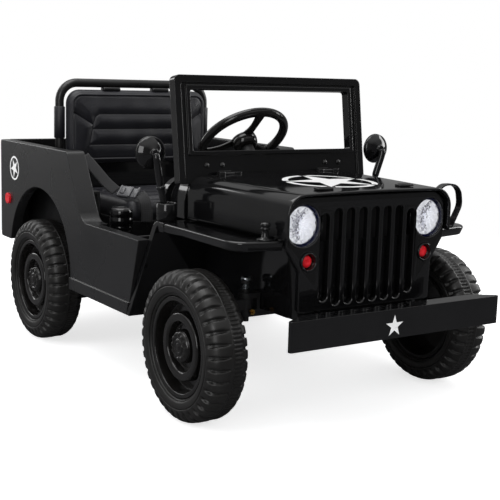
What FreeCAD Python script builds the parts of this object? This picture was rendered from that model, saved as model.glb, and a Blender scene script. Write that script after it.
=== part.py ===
import FreeCAD, Part
import Sketcher
import math
import os
from types import SimpleNamespace

# A child's ride-on electric car in the shape of an old army 4x4.
# X points forwards, Y to the car's left, Z up, with z = 0 on the ground.
# The origin lies on the ground under the middle of the car.

# Driving dimensions in millimetres and degrees

DRIVING = {
    "front_axle_x": 339.0,
    "wheelbase": 674.0,
    "wheel_inset": 15.5,
    "tyre_radius": 137.0,
    "tyre_width": 80.0,
    "tyre_shoulder": 128.0,
    "lug_height": 7.0,
    "lug_count": 32.0,
    "lug_share": 0.48,
    "lug_slope": 0.1,
    "sidewall_radius": 108.0,
    "bead_radius": 92.0,
    "rim_fit": 1.0,
    "rim_width": 66.0,
    "rim_wall": 5.0,
    "rim_lip": 83.0,
    "rim_groove": 24.0,
    "ring_outer": 62.0,
    "ring_inner": 46.0,
    "ring_depth": 5.0,
    "bowl_depth": 20.0,
    "hub_radius": 30.0,
    "hub_depth": 7.0,
    "hub_cover": 6.0,
    "axle_radius": 8.0,
    "axle_play": 0.05,
    "kingpin_inset": 110.5,
    "kingpin_radius": 7.0,
    "kingpin_top": 249.0,
    "kingpin_head": 9.5,
    "bolt_radius": 3.5,
    "knuckle_half": 13.0,
    "leg_half": 11.0,
    "leg_gap": 3.0,
    "leg_thick": 15.0,
    "leg_below": 12.0,
    "arm_reach": 60.0,
    "arm_thick": 8.0,
    "beam_half": 14.0,
    "beam_low": 180.0,
    "ear_gap": 21.0,
    "ear_thick": 10.0,
    "tub_half_width": 300.0,
    "tub_wall": 24.0,
    "rear_overhang": 237.0,
    "rear_wall": 18.0,
    "tub_top": 442.0,
    "tail_level": 205.0,
    "rear_top_ahead": 155.0,
    "top_bend": 14.0,
    "door_ahead": 236.0,
    "door_bend": 34.0,
    "door_post": 26.0,
    "door_post_wall": 18.0,
    "sill_top": 300.0,
    "sill_bottom": 147.0,
    "sill_ahead": 175.0,
    "sill_front_low": 115.0,
    "rocker_top": 172.0,
    "rocker_step": 3.0,
    "arch_radius": 177.0,
    "arch_lift": 34.0,
    "wheel_gap": 8.0,
    "floor_thick": 8.0,
    "panel": 6.0,
    "seat_fit": 0.3,
    "wheel_house_top": 356.0,
    "rail_out": 108.0,
    "rail_width": 28.0,
    "rail_depth": 26.0,
    "rail_end": 60.0,
    "rail_front": 112.0,
    "cross_width": 30.0,
    "cowl_band_rear": 104.0,
    "cowl_band_front": 122.0,
    "cowl_band_half": 225.0,
    "cowl_front": 173.0,
    "cowl_half_width": 211.0,
    "cowl_top": 421.0,
    "cowl_round": 42.0,
    "crown": 7.0,
    "hood_rear_half": 200.0,
    "hood_front_half": 160.0,
    "hood_top": 421.0,
    "hood_front_top": 420.0,
    "hood_round": 30.0,
    "hood_skin": 5.0,
    "hood_edge": 8.0,
    "block_x": 444.0,
    "block_out": 105.0,
    "block_width": 40.0,
    "block_length": 16.0,
    "block_rise": 5.0,
    "seam": 1.0,
    "nose_half": 150.0,
    "nose_round": 26.0,
    "nose_low": 193.0,
    "carrier_half": 95.0,
    "carrier_low": 172.0,
    "grille_front": 473.4,
    "grille_thick": 14.0,
    "grille_half": 153.0,
    "grille_top": 410.0,
    "grille_bulge": 187.0,
    "grille_low": 208.0,
    "grille_edge": 9.0,
    "baffle_gap": 27.0,
    "baffle_top": 398.0,
    "baffle_thick": 3.0,
    "bulge_low": 324.0,
    "bulge_high": 388.0,
    "slot_pitch": 28.3,
    "slot_width": 18.0,
    "slot_low": 217.0,
    "slot_outer_low": 226.0,
    "slot_top": 389.0,
    "slot_outer_top": 381.0,
    "slot_count": 8.0,
    "lamp_out": 146.0,
    "lamp_level": 362.0,
    "lamp_hole": 36.0,
    "lamp_radius": 33.0,
    "lamp_recess": 4.0,
    "lamp_depth": 13.7,
    "marker_out": 135.0,
    "marker_level": 299.0,
    "marker_radius": 10.5,
    "marker_rise": 7.0,
    "marker_rim": 15.0,
    "marker_tab": 21.0,
    "fender_inset": 27.0,
    "fender_top": 338.0,
    "fender_front": 461.0,
    "fender_rear": 168.0,
    "fender_thick": 7.0,
    "fender_bend": 16.0,
    "fender_lip": 18.0,
    "strip_width": 12.0,
    "strip_flare": 1.0,
    "bumper_front": 572.0,
    "bumper_half": 238.0,
    "bumper_low": 172.0,
    "bumper_top": 224.0,
    "bumper_skin": 5.0,
    "bumper_flange": 34.0,
    "bumper_bend": 4.0,
    "bumper_end": 8.0,
    "bumper_inset": 45.0,
    "bracket_rise": 8.0,
    "bracket_tall": 22.0,
    "screen_foot_x": 180.0,
    "screen_half": 225.5,
    "screen_low": 404.0,
    "screen_height": 208.0,
    "screen_thick": 20.0,
    "screen_rake": 8.3,
    "screen_side": 33.5,
    "screen_bottom": 62.0,
    "screen_head": 27.0,
    "screen_band": 14.0,
    "screen_lip": 8.0,
    "screen_step": 5.0,
    "screen_gap": 1.2,
    "hinge_x": 188.0,
    "hinge_level": 424.0,
    "hinge_out": 120.0,
    "hinge_half": 12.0,
    "hinge_leaf": 13.0,
    "hinge_eye": 4.5,
    "hinge_pin": 2.5,
    "hinge_gap": 0.3,
    "steer_x": 50.6,
    "steer_level": 481.3,
    "steer_radius": 91.0,
    "steer_tube": 9.5,
    "steer_lean": 49.0,
    "steer_hub": 28.0,
    "steer_hub_low": 24.0,
    "steer_hub_high": 6.0,
    "spoke_width": 20.0,
    "spoke_thick": 8.0,
    "column_radius": 14.0,
    "column_length": 118.0,
    "bar_behind": 115.0,
    "bar_half": 200.0,
    "bar_top": 587.0,
    "bar_bend": 46.0,
    "bar_tube": 10.5,
    "seat_ahead": 215.0,
    "seat_half": 180.0,
    "seat_base_top": 292.0,
    "cushion_thick": 48.0,
    "cushion_bend": 24.0,
    "back_low": 392.0,
    "back_top": 562.0,
    "back_half": 186.0,
    "back_thick": 25.0,
    "back_bend": 34.0,
    "shell_thick": 8.0,
    "mirror_x": 150.0,
    "mirror_out": 272.0,
    "mirror_left_out": 281.0,
    "mirror_level": 465.0,
    "mirror_radius": 31.0,
    "mirror_dome": 16.0,
    "mirror_rim": 5.0,
    "stem_radius": 6.5,
    "collar_radius": 8.5,
    "cup_radius": 20.0,
    "cup_height": 34.0,
    "cup_x": 174.0,
    "cup_out": 250.0,
    "guard_x": 458.0,
    "guard_out": 206.0,
    "guard_half": 30.0,
    "guard_height": 84.0,
    "guard_strip": 14.0,
    "guard_wall": 3.0,
    "post_x": 444.0,
    "post_out": 207.0,
    "post_radius": 6.0,
    "post_height": 31.0,
    "post_foot": 15.0,
    "post_cap": 9.0,
    "post_cap_height": 6.0,
    "reflector_inset": 52.0,
    "reflector_level": 303.0,
    "reflector_radius": 13.0,
    "tail_lamp_out": 232.0,
    "tail_lamp_level": 300.0,
    "tail_lamp_radius": 15.0,
    "lens_rise": 5.0,
    "strap_width": 24.0,
    "strap_thick": 2.4,
    "strap_ahead": 73.0,
    "strap_top_out": 222.0,
    "strap_top_level": 424.0,
    "buckle_ahead": 163.0,
    "buckle_out": 172.0,
    "buckle_length": 46.0,
    "buckle_width": 30.0,
    "buckle_thick": 12.0,
    "console_ahead": 248.0,
    "console_out": 215.0,
    "console_radius": 25.0,
    "console_top": 330.0,
    "battery_half": 60.0,
    "battery_front": 306.0,
    "battery_top": 316.0,
    "gearbox_out": 166.0,
    "gearbox_half": 34.0,
    "gearbox_rear": 40.0,
    "gearbox_front": 90.0,
}

doc = FreeCAD.newDocument("ArmyCar")
sheet = doc.addObject("Spreadsheet::Sheet", "Sizes")


class Length:
    """A value together with the spreadsheet expression that gives it."""

    def __init__(self, value, text):
        self.value = value
        self.text = text

    def __add__(self, other):
        return Length(self.value + amount(other), f"({self.text} + {wording(other)})")

    def __sub__(self, other):
        return Length(self.value - amount(other), f"({self.text} - {wording(other)})")

    def __mul__(self, other):
        return Length(self.value * amount(other), f"({self.text} * {wording(other)})")

    def __truediv__(self, other):
        return Length(self.value / amount(other), f"({self.text} / {wording(other)})")

    def __neg__(self):
        return Length(-self.value, f"(-1 * {self.text})")


def amount(item):
    return item.value if isinstance(item, Length) else float(item)


def wording(item):
    return item.text if isinstance(item, Length) else repr(float(item))


for row, (name, value) in enumerate(DRIVING.items(), 1):
    sheet.set(f"A{row}", str(value))
    sheet.setAlias(f"A{row}", name)
doc.recompute()
s = SimpleNamespace(**{name: Length(value, "Sizes." + name) for name, value in DRIVING.items()})

rear_axle_x = s.front_axle_x - s.wheelbase
axle_level = s.tyre_radius
axle_back = -rear_axle_x
door_low_x = axle_back - s.door_ahead
rear_top_front = axle_back - s.rear_top_ahead
sill_rear = axle_back - s.sill_ahead
seat_front = axle_back - s.seat_ahead
strap_top_x = axle_back - s.strap_ahead
buckle_x = axle_back - s.buckle_ahead
console_x = axle_back - s.console_ahead
tub_rear = axle_back + s.rear_overhang
bar_x = axle_back + s.bar_behind
reflector_x = tub_rear - s.reflector_inset
beam_top = s.nose_low - s.seat_fit
ear_level = beam_top + s.ear_gap
wheel_out = s.tub_half_width - s.wheel_inset
kingpin_out = wheel_out - s.kingpin_inset
tub_inner = s.tub_half_width - s.tub_wall
house_wall = wheel_out - s.tyre_width / 2 - s.wheel_gap
floor_top = s.sill_bottom + s.floor_thick
fender_half = s.tub_half_width - s.fender_inset
fender_in = s.nose_half + s.seam
grille_back = s.grille_front - s.grille_thick
strip_slope = (s.fender_rear - s.sill_front_low) / (s.fender_top - s.sill_bottom)
sill_front_top = s.sill_front_low + strip_slope * (s.sill_top - s.sill_bottom) - s.seam
shell_rear = -bar_x + s.bar_tube + s.seat_fit
cushion_top = s.seat_base_top + s.seat_fit + s.cushion_thick

# Helpers that bind a size or place to the sheet


def bind(thing, name, size):
    if isinstance(size, Length):
        thing.setExpression(name, size.text)
    else:
        setattr(thing, name, float(size))


def place(thing, x=0.0, y=0.0, z=0.0, turn=None):
    thing.Placement = FreeCAD.Placement(
        FreeCAD.Vector(amount(x), amount(y), amount(z)), turn or FreeCAD.Rotation())
    for axis, size in zip("xyz", (x, y, z)):
        if isinstance(size, Length):
            thing.setExpression("Placement.Base." + axis, size.text)


def new_body(label):
    body = doc.addObject("PartDesign::Body", "Body_" + label)
    body.Label = label
    return body


def new_sketch(body, role, level=0.0):
    sketch = body.newObject("Sketcher::SketchObject", "Sketch_" + body.Label)
    plane = [part for part in body.Origin.OriginFeatures if part.Role == role][0]
    sketch.AttachmentSupport = [(plane, "")]
    sketch.MapMode = "FlatFace"
    sketch.AttachmentOffset = FreeCAD.Placement(FreeCAD.Vector(0, 0, amount(level)), FreeCAD.Rotation())
    if isinstance(level, Length):
        sketch.setExpression("AttachmentOffset.Base.z", level.text)
    return sketch


def limit(sketch, constraint, size):
    index = sketch.addConstraint(constraint)
    if isinstance(size, Length):
        sketch.setExpression(f"Constraints[{index}]", size.text)


def fix_point(sketch, geometry, end, across, up):
    limit(sketch, Sketcher.Constraint("DistanceX", -1, 1, geometry, end, amount(across)), across)
    limit(sketch, Sketcher.Constraint("DistanceY", -1, 1, geometry, end, amount(up)), up)


def draw_circle(sketch, across, up, radius):
    centre = FreeCAD.Vector(amount(across), amount(up), 0)
    circle = sketch.addGeometry(Part.Circle(centre, FreeCAD.Vector(0, 0, 1), amount(radius)))
    fix_point(sketch, circle, 3, across, up)
    limit(sketch, Sketcher.Constraint("Radius", circle, amount(radius)), radius)


def draw_outline(sketch, corners):
    # Each corner is (across, up), or (across, up, radius) where it is rounded.
    count = len(corners)
    spots = [FreeCAD.Vector(amount(corner[0]), amount(corner[1]), 0) for corner in corners]
    enter, middle, leave = [], [], []
    for index, corner in enumerate(corners):
        here = spots[index]
        back = (spots[index - 1] - here).normalize()
        ahead = (spots[(index + 1) % count] - here).normalize()
        half = back.getAngle(ahead) / 2
        radius = amount(corner[2]) if len(corner) == 3 else 0.0
        enter.append(here + back * (radius / math.tan(half)))
        leave.append(here + ahead * (radius / math.tan(half)))
        middle.append(here + (back + ahead).normalize() * (radius / math.sin(half) - radius)
                      if radius else here)
    sides = [sketch.addGeometry(Part.LineSegment(leave[index], enter[(index + 1) % count]))
             for index in range(count)]
    for index, corner in enumerate(corners):
        before, after = sides[index - 1], sides[index]
        if len(corner) == 2:
            sketch.addConstraint(Sketcher.Constraint("Coincident", before, 2, after, 1))
            fix_point(sketch, after, 1, corner[0], corner[1])
            continue
        arc = sketch.addGeometry(Part.Arc(enter[index], middle[index], leave[index]))
        start = 1 if sketch.getPoint(arc, 1).distanceToPoint(enter[index]) < 1e-6 else 2
        sketch.addConstraint(Sketcher.Constraint("Tangent", before, 2, arc, start))
        sketch.addConstraint(Sketcher.Constraint("Tangent", arc, 3 - start, after, 1))
        limit(sketch, Sketcher.Constraint("Radius", arc, amount(corner[2])), corner[2])
        point = sketch.addGeometry(Part.Point(spots[index]), True)
        fix_point(sketch, point, 1, corner[0], corner[1])
        sketch.addConstraint(Sketcher.Constraint("PointOnObject", point, 1, before))
        sketch.addConstraint(Sketcher.Constraint("PointOnObject", point, 1, after))


def draw_box(sketch, low_across, low_up, high_across, high_up):
    draw_outline(sketch, [(low_across, low_up), (high_across, low_up),
                          (high_across, high_up), (low_across, high_up)])


def pad(body, sketch, length, both_ways=False):
    feature = body.newObject("PartDesign::Pad", "Pad_" + body.Label)
    feature.Profile = sketch
    bind(feature, "Length", length)
    feature.Midplane = both_ways
    return feature


def pocket(body, sketch, length, both_ways=False, backwards=False):
    feature = body.newObject("PartDesign::Pocket", "Pocket_" + body.Label)
    feature.Profile = sketch
    bind(feature, "Length", length)
    feature.Midplane = both_ways
    feature.Reversed = backwards
    return feature


def revolve(body, sketch, axis):
    feature = body.newObject("PartDesign::Revolution", "Revolution_" + body.Label)
    feature.Profile = sketch
    feature.ReferenceAxis = (sketch, [axis])
    feature.Angle = 360
    return feature


def box(name, low, high):
    # A block between two corners, each given as (x, y, z).
    block = doc.addObject("Part::Box", name)
    for side, near, far in zip(("Length", "Width", "Height"), low, high):
        bind(block, side,
             far - near if isinstance(far, Length) else Length(amount(far), wording(far)) - near)
    place(block, *low)
    return block


def rod(name, radius, length, x, y, z, direction):
    # A round bar that starts at (x, y, z) and runs along direction.
    bar = doc.addObject("Part::Cylinder", name)
    bind(bar, "Radius", radius)
    bind(bar, "Height", length)
    place(bar, x, y, z, FreeCAD.Rotation(FreeCAD.Vector(0, 0, 1), direction))
    return bar


def fuse(label, pieces):
    joined = doc.addObject("Part::MultiFuse", "Fuse_" + label)
    joined.Shapes = pieces
    joined.Label = label
    return joined


def cut(label, base, tool):
    result = doc.addObject("Part::Cut", "Cut_" + label)
    result.Base = base
    result.Tool = tool
    result.Label = label
    return result


def mirror_left(source, label):
    twin = doc.addObject("Part::Mirroring", "Mirror_" + label)
    twin.Source = source
    twin.Normal = FreeCAD.Vector(0, 1, 0)
    twin.Label = label
    return twin


def hand(source, stem):
    # The piece on the car's right, and its mirror image on the left.
    source.Label = stem + "_right"
    return [source, mirror_left(source, stem + "_left")]


ALONG_X = FreeCAD.Vector(1, 0, 0)
ALONG_Y = FreeCAD.Vector(0, 1, 0)
ALONG_Z = FreeCAD.Vector(0, 0, 1)


# Wheels

def rim():
    # A dished wheel: lip, deep groove, raised ring and hub cap; y = 0 is its middle, -y its outer face.
    body = new_body("rim")
    face = -s.rim_width / 2
    back = s.rim_width / 2
    bore = s.axle_radius + s.axle_play
    edge = s.bead_radius - s.rim_fit
    wall = s.rim_wall
    sketch = new_sketch(body, "YZ_Plane")
    draw_outline(sketch, [
        (face, edge),
        (face, s.rim_lip, 2.0),
        (face + s.rim_groove, s.rim_lip - wall),
        (face + s.rim_groove, s.ring_outer),
        (face + s.ring_depth, s.ring_outer, wall),
        (face + s.ring_depth, s.ring_inner, wall),
        (face + s.bowl_depth, s.ring_inner - wall),
        (face + s.bowl_depth, s.hub_radius),
        (face + s.hub_depth, s.hub_radius, wall),
        (face + s.hub_depth, 0.0),
        (face + s.hub_depth + s.hub_cover, 0.0),
        (face + s.hub_depth + s.hub_cover, bore),
        (back, bore),
        (back, s.hub_radius),
        (face + s.rim_groove + wall, s.hub_radius),
        (face + s.rim_groove + wall, s.rim_lip - wall),
        (back, s.rim_lip),
        (back, edge)])
    revolve(body, sketch, "H_Axis")
    return body


def tread_outline(y, tip, turn):
    # One closed outline of the tread seen along the axle: lugs that stand on a ring.
    count = int(s.lug_count.value)
    root = tip - s.lug_height.value
    lug, slope = s.lug_share.value, s.lug_slope.value
    points = []
    for index in range(count):
        for share, radius in ((-slope, root), (0.0, tip), (lug, tip), (lug + slope, root)):
            angle = 2.0 * math.pi * (index + share + turn) / count
            points.append(FreeCAD.Vector(radius * math.cos(angle), y, radius * math.sin(angle)))
    return Part.makePolygon(points + points[:1])


def tyre():
    # Two staggered rows of lugs, tapered to the shoulders, round a hollow for the rim.
    half = s.tyre_width.value / 2
    crown, shoulder = s.tyre_radius.value, s.tyre_shoulder.value
    outer = Part.makeLoft([tread_outline(0.0, crown, 0.0), tread_outline(-half, shoulder, 0.0)], True, True)
    inner = Part.makeLoft([tread_outline(0.0, crown, 0.5), tread_outline(half, shoulder, 0.5)], True, True)
    bead, seat, side = s.bead_radius.value, s.rim_width.value / 2, s.sidewall_radius.value
    past = (side - bead) / (half - seat)
    profile = Part.makePolygon([FreeCAD.Vector(radius, y, 0) for y, radius in (
        (-half - 1.0, 0.0), (-half - 1.0, side + past), (-seat, bead), (seat, bead),
        (half + 1.0, side + past), (half + 1.0, 0.0), (-half - 1.0, 0.0))])
    hollow = Part.Face(profile).revolve(FreeCAD.Vector(), ALONG_Y, 360)
    part = doc.addObject("Part::Feature", "tyre")
    part.Shape = outer.fuse(inner).cut(hollow)
    return part


def wheels():
    nodes = []
    for end, x in (("front", s.front_axle_x), ("rear", rear_axle_x)):
        for build, stem in ((rim, "rim_" + end), (tyre, "tyre_" + end)):
            right = build()
            place(right, x, -wheel_out, axle_level)
            nodes += hand(right, stem)
    return nodes


# Axles and steering

def axle_end():
    # How far from the car's middle an axle reaches, just short of the closed hub cap.
    return wheel_out + s.rim_width / 2 - s.hub_depth - s.hub_cover - s.seat_fit


def rear_axle():
    return [rod("rear_axle", s.axle_radius, axle_end() * 2.0, rear_axle_x, -axle_end(), axle_level,
                ALONG_Y)]


def front_axle_beam():
    # The beam under the nose, with two ears at each end that hold a kingpin.
    fore, aft = s.front_axle_x + s.beam_half, s.front_axle_x - s.beam_half
    pieces = [box("axle_bar", (aft, -kingpin_out, s.beam_low), (fore, kingpin_out, beam_top))]
    holes = []
    for name, side in (("right", -1.0), ("left", 1.0)):
        low, high = sorted([fender_in * side, kingpin_out * side], key=amount)
        web_low, web_high = sorted([fender_in * side, (fender_in + s.panel) * side], key=amount)
        pieces += [
            rod("ear_low_" + name, s.beam_half, beam_top - s.beam_low, s.front_axle_x, kingpin_out * side,
                s.beam_low, ALONG_Z),
            rod("ear_high_" + name, s.beam_half, s.ear_thick, s.front_axle_x, kingpin_out * side,
                ear_level, ALONG_Z),
            box("ear_arm_" + name, (aft, low, ear_level), (fore, high, ear_level + s.ear_thick)),
            box("ear_web_" + name, (aft, web_low, s.beam_low), (fore, web_high, ear_level + s.ear_thick))]
        holes.append(rod("pin_hole_" + name, s.kingpin_radius + s.axle_play, s.kingpin_top, s.front_axle_x,
                         kingpin_out * side, axle_level, ALONG_Z))
    return [cut("front_axle", fuse("axle_whole", pieces), fuse("axle_holes", holes))]


def knuckles():
    # A kingpin with its round boss, a leg down to the stub axle, and the arm that turns it.
    x, half = s.front_axle_x, s.leg_half
    low, hump = s.beam_low - s.ear_thick, ear_level + s.ear_thick + s.panel
    boss_low = beam_top + s.seam / 2
    boss_high = ear_level - s.seam / 2
    leg_in = kingpin_out + s.beam_half + s.leg_gap
    leg_out = leg_in + s.leg_thick
    foot = axle_level - s.leg_below
    reach = axle_end() - leg_in
    return hand(fuse("knuckle", [
        rod("kingpin", s.kingpin_radius, hump - low, x, -kingpin_out, low, ALONG_Z),
        rod("kingpin_bolt", s.bolt_radius, s.kingpin_top - hump, x, -kingpin_out, hump, ALONG_Z),
        rod("kingpin_head", s.kingpin_head, s.axle_radius, x, -kingpin_out,
            s.kingpin_top - s.axle_radius, ALONG_Z),
        rod("knuckle_boss", s.knuckle_half, boss_high - boss_low, x, -kingpin_out, boss_low, ALONG_Z),
        box("knuckle_bridge", (x - half, -leg_out, boss_low), (x + half, -kingpin_out, boss_high)),
        box("knuckle_leg", (x - half, -leg_out, foot), (x + half, -leg_in, boss_high)),
        rod("stub_axle", s.axle_radius, reach, x, -leg_in - reach, axle_level, ALONG_Y),
        box("steering_arm", (x - s.arm_reach, -leg_out, foot),
            (x - half, -leg_in, foot + s.arm_thick))]), "knuckle")


# Body tub

def tub_sides():
    body = new_body("tub_side")
    sketch = new_sketch(body, "XZ_Plane", tub_inner)
    draw_outline(sketch, [
        (-tub_rear, s.tail_level, 6.0),
        (-tub_rear, s.tub_top, 8.0),
        (-rear_top_front, s.tub_top, s.top_bend),
        (-door_low_x, s.sill_top, s.door_bend),
        (sill_front_top, s.sill_top),
        (s.sill_front_low - s.seam, s.sill_bottom),
        (-sill_rear, s.sill_bottom),
        (-sill_rear, s.tail_level)])
    pad(body, sketch, s.tub_wall)
    rocker = new_sketch(body, "XZ_Plane", tub_inner)
    rise = s.rocker_top - s.sill_bottom
    draw_outline(rocker, [
        (-sill_rear, s.sill_bottom), (s.sill_front_low - s.seam, s.sill_bottom),
        (s.sill_front_low - s.seam + strip_slope * rise, s.rocker_top), (-sill_rear, s.rocker_top)])
    pad(body, rocker, s.tub_wall + s.rocker_step)
    post = new_sketch(body, "XZ_Plane", tub_inner - s.door_post_wall)
    draw_outline(post, [
        (-rear_top_front - s.door_post, s.tub_top), (-rear_top_front, s.tub_top, s.top_bend),
        (-door_low_x, s.sill_top, s.door_bend), (-door_low_x + s.door_bend, s.sill_top),
        (-door_low_x + s.door_bend, s.sill_top - s.panel),
        (-door_low_x - s.door_post, s.sill_top - s.panel)])
    pad(body, post, s.door_post_wall)
    arch = new_sketch(body, "XZ_Plane", s.tub_half_width + s.rocker_step + 1.0)
    draw_circle(arch, rear_axle_x, axle_level + s.arch_lift, s.arch_radius)
    pocket(body, arch, s.tub_wall + s.rocker_step + 2.0)
    return hand(body, "tub_side")


def rear_panel():
    return [box("rear_panel", (-tub_rear, -tub_inner, s.tail_level),
                (-tub_rear + s.rear_wall, tub_inner, s.tub_top))]


def floor_pan():
    body = new_body("floor_pan")
    sketch = new_sketch(body, "XY_Plane", s.sill_bottom)
    rear_end = -tub_rear + s.rear_wall
    arch_front = rear_axle_x + s.arch_radius
    draw_outline(sketch, [
        (rear_end, -house_wall), (arch_front, -house_wall), (arch_front, -tub_inner),
        (s.sill_front_low, -tub_inner), (s.sill_front_low, tub_inner), (arch_front, tub_inner),
        (arch_front, house_wall), (rear_end, house_wall)])
    pad(body, sketch, s.floor_thick)
    return [body]


def load_floor():
    # The flat tray behind the seat.
    half = house_wall - s.panel - s.seat_fit
    return [box("load_floor", (-tub_rear + s.rear_wall + s.seat_fit, -half, floor_top),
                (-bar_x - s.bar_tube - s.seat_fit, half, floor_top + s.panel))]


def wheel_houses():
    # The box over each rear wheel, inside the tub.
    body = new_body("wheel_house")
    start = -tub_rear + s.rear_wall + s.seat_fit
    sketch = new_sketch(body, "YZ_Plane", start)
    top, skin = s.wheel_house_top, s.panel
    draw_outline(sketch, [
        (-tub_inner, top), (-tub_inner, top - skin), (-house_wall, top - skin),
        (-house_wall, floor_top), (-house_wall + skin, floor_top), (-house_wall + skin, top)])
    pad(body, sketch, rear_axle_x + s.arch_radius - s.seam - start)
    return hand(body, "wheel_house")


def chassis():
    rails = []
    low = s.sill_bottom - s.rail_depth
    for name, side in (("right", -1.0), ("left", 1.0)):
        middle = s.rail_out * side
        rails.append(box("rail_" + name, (-tub_rear + s.rail_end, middle - s.rail_width / 2, low),
                         (s.rail_front, middle + s.rail_width / 2, s.sill_bottom)))
    for name, x in (("rear", -tub_rear + s.rail_end), ("middle", -sill_rear)):
        rails.append(box("cross_" + name, (x, -s.rail_out, low),
                         (x + s.cross_width, s.rail_out, s.sill_bottom)))
    hole = rod("chassis_axle_hole", s.axle_radius + s.axle_play, s.tub_half_width * 2.0,
               rear_axle_x, -s.tub_half_width, axle_level, ALONG_Y)
    return [cut("chassis_frame", fuse("chassis_rails", rails), hole)]


# Nose, cowl and hood

def front_carrier():
    # The keel under the hood with the plate inside the nose.
    # It holds the battery, the grille and the front axle.
    body = new_body("front_carrier")
    rear, half, wall = s.sill_front_low + s.seat_fit, s.carrier_half, s.panel
    fore, aft = s.front_axle_x + s.beam_half + s.seam, s.front_axle_x - s.beam_half - s.seam
    deep = s.nose_low - s.carrier_low
    keel = new_sketch(body, "XY_Plane", s.carrier_low)
    draw_box(keel, rear, -half, grille_back, half)
    pad(body, keel, deep)
    plate = new_sketch(body, "XY_Plane", s.nose_low)
    inset, bend = s.hood_skin + s.seat_fit, s.nose_round - s.hood_skin
    side, front = s.nose_half - inset, grille_back - s.seat_fit - inset
    draw_outline(plate,
                 [(rear + inset, -side), (front, -side, bend), (front, side, bend), (rear + inset, side)])
    pad(body, plate, wall)
    for start, end in ((rear + inset, s.battery_front + s.seam), (fore + wall, front - wall)):
        well = new_sketch(body, "XY_Plane", s.nose_low + wall)
        draw_box(well, start, -half + wall, end, half - wall)
        pocket(body, well, deep)
    notch = new_sketch(body, "XY_Plane", s.nose_low)
    draw_box(notch, aft, -half - 1.0, fore, half + 1.0)
    pocket(body, notch, deep + 1.0)
    return [body]


def nose_box():
    # The glossy box between the front wheels, round at its front corners.
    body = new_body("nose_box")
    low, high = s.nose_low + s.seat_fit, s.fender_top - s.fender_thick - s.seat_fit
    front, rear = grille_back - s.seat_fit, s.sill_front_low + s.seat_fit
    half, skin, bend = s.nose_half, s.hood_skin, s.nose_round
    sketch = new_sketch(body, "XY_Plane", low)
    draw_outline(sketch, [(rear, -half), (front, -half, bend), (front, half, bend), (rear, half)])
    pad(body, sketch, high - low)
    inside = new_sketch(body, "XY_Plane", high + 1.0)
    draw_outline(inside, [(rear + skin, -half + skin), (front - skin, -half + skin, bend - skin),
                          (front - skin, half - skin, bend - skin), (rear + skin, half - skin)])
    pocket(body, inside, high - low + 2.0)
    return [body]


def column_line():
    # The direction of the steering column, up and back towards the driver.
    lean = math.radians(s.steer_lean.value)
    return FreeCAD.Vector(-math.cos(lean), 0, math.sin(lean))


def column_hole(name):
    return rod(name, s.column_radius + s.axle_play, s.column_length * 2.0, s.steer_x, 0.0,
               s.steer_level, -column_line())


def section(x, half, low, top, bend, crown):
    # An outline across the car: upright sides, round shoulders and a gently crowned top.
    shoulder = top - crown
    turn = bend * math.sqrt(0.5)
    right = [FreeCAD.Vector(x, -half, low), FreeCAD.Vector(x, -half, shoulder - bend),
             FreeCAD.Vector(x, -half + bend - turn, shoulder - bend + turn),
             FreeCAD.Vector(x, -half + bend, shoulder)]
    left = [FreeCAD.Vector(x, -point.y, point.z) for point in right]
    return Part.Wire([
        Part.makeLine(right[0], right[1]), Part.Arc(right[1], right[2], right[3]).toShape(),
        Part.Arc(right[3], FreeCAD.Vector(x, 0, top), left[3]).toShape(),
        Part.Arc(left[3], left[2], left[1]).toShape(), Part.makeLine(left[1], left[0]),
        Part.makeLine(left[0], right[0])])


def shell(name, ends, skin, thicker_sides=0.0, straight=False):
    # A hollow loft between two sections, open below and at both ends.
    def loft(inset, narrower):
        return Part.makeLoft([section(x, half - inset - narrower, low, top - inset, bend - inset, crown)
                              for x, half, low, top, bend, crown in ends], True, straight)
    part = doc.addObject("Part::Feature", name)
    part.Shape = loft(0.0, 0.0).cut(loft(skin, thicker_sides))
    return part


def cowl():
    low = s.fender_top.value + s.seat_fit.value
    top, bend, crown = s.cowl_top.value, s.cowl_round.value, s.crown.value
    half, wide = s.cowl_half_width.value, s.cowl_band_half.value
    rear, middle, front = s.cowl_band_rear.value, s.cowl_band_front.value, s.cowl_front.value
    band = shell("cowl_band", [(rear, wide, low, top, bend, crown),
                               (middle, wide, low, top, bend, crown)], s.panel.value, wide - half)
    front_part = shell("cowl_sides", [(rear, half, low, top, bend, crown),
                                      (front, half, low, top, bend, crown)], s.panel.value)
    return [cut("cowl", fuse("cowl_whole", [band, front_part]), column_hole("cowl_column_hole"))]


def dashboard():
    # The upright plate that closes the cowl towards the driver.
    half = s.cowl_half_width - s.panel - s.seat_fit
    shoulder = s.cowl_top - s.crown - s.panel - s.seat_fit
    body = new_body("dashboard_plate")
    sketch = new_sketch(body, "YZ_Plane", s.cowl_band_rear)
    bend = s.cowl_round - s.panel
    draw_outline(sketch,
                 [(-half, s.sill_top), (-half, shoulder, bend), (half, shoulder, bend), (half, s.sill_top)])
    pad(body, sketch, s.panel)
    return [cut("dashboard", body, column_hole("dashboard_column_hole"))]


def firewall():
    return [box("firewall", (s.sill_front_low - s.floor_thick, -tub_inner, floor_top),
                (s.sill_front_low, tub_inner, s.sill_top))]


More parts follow.
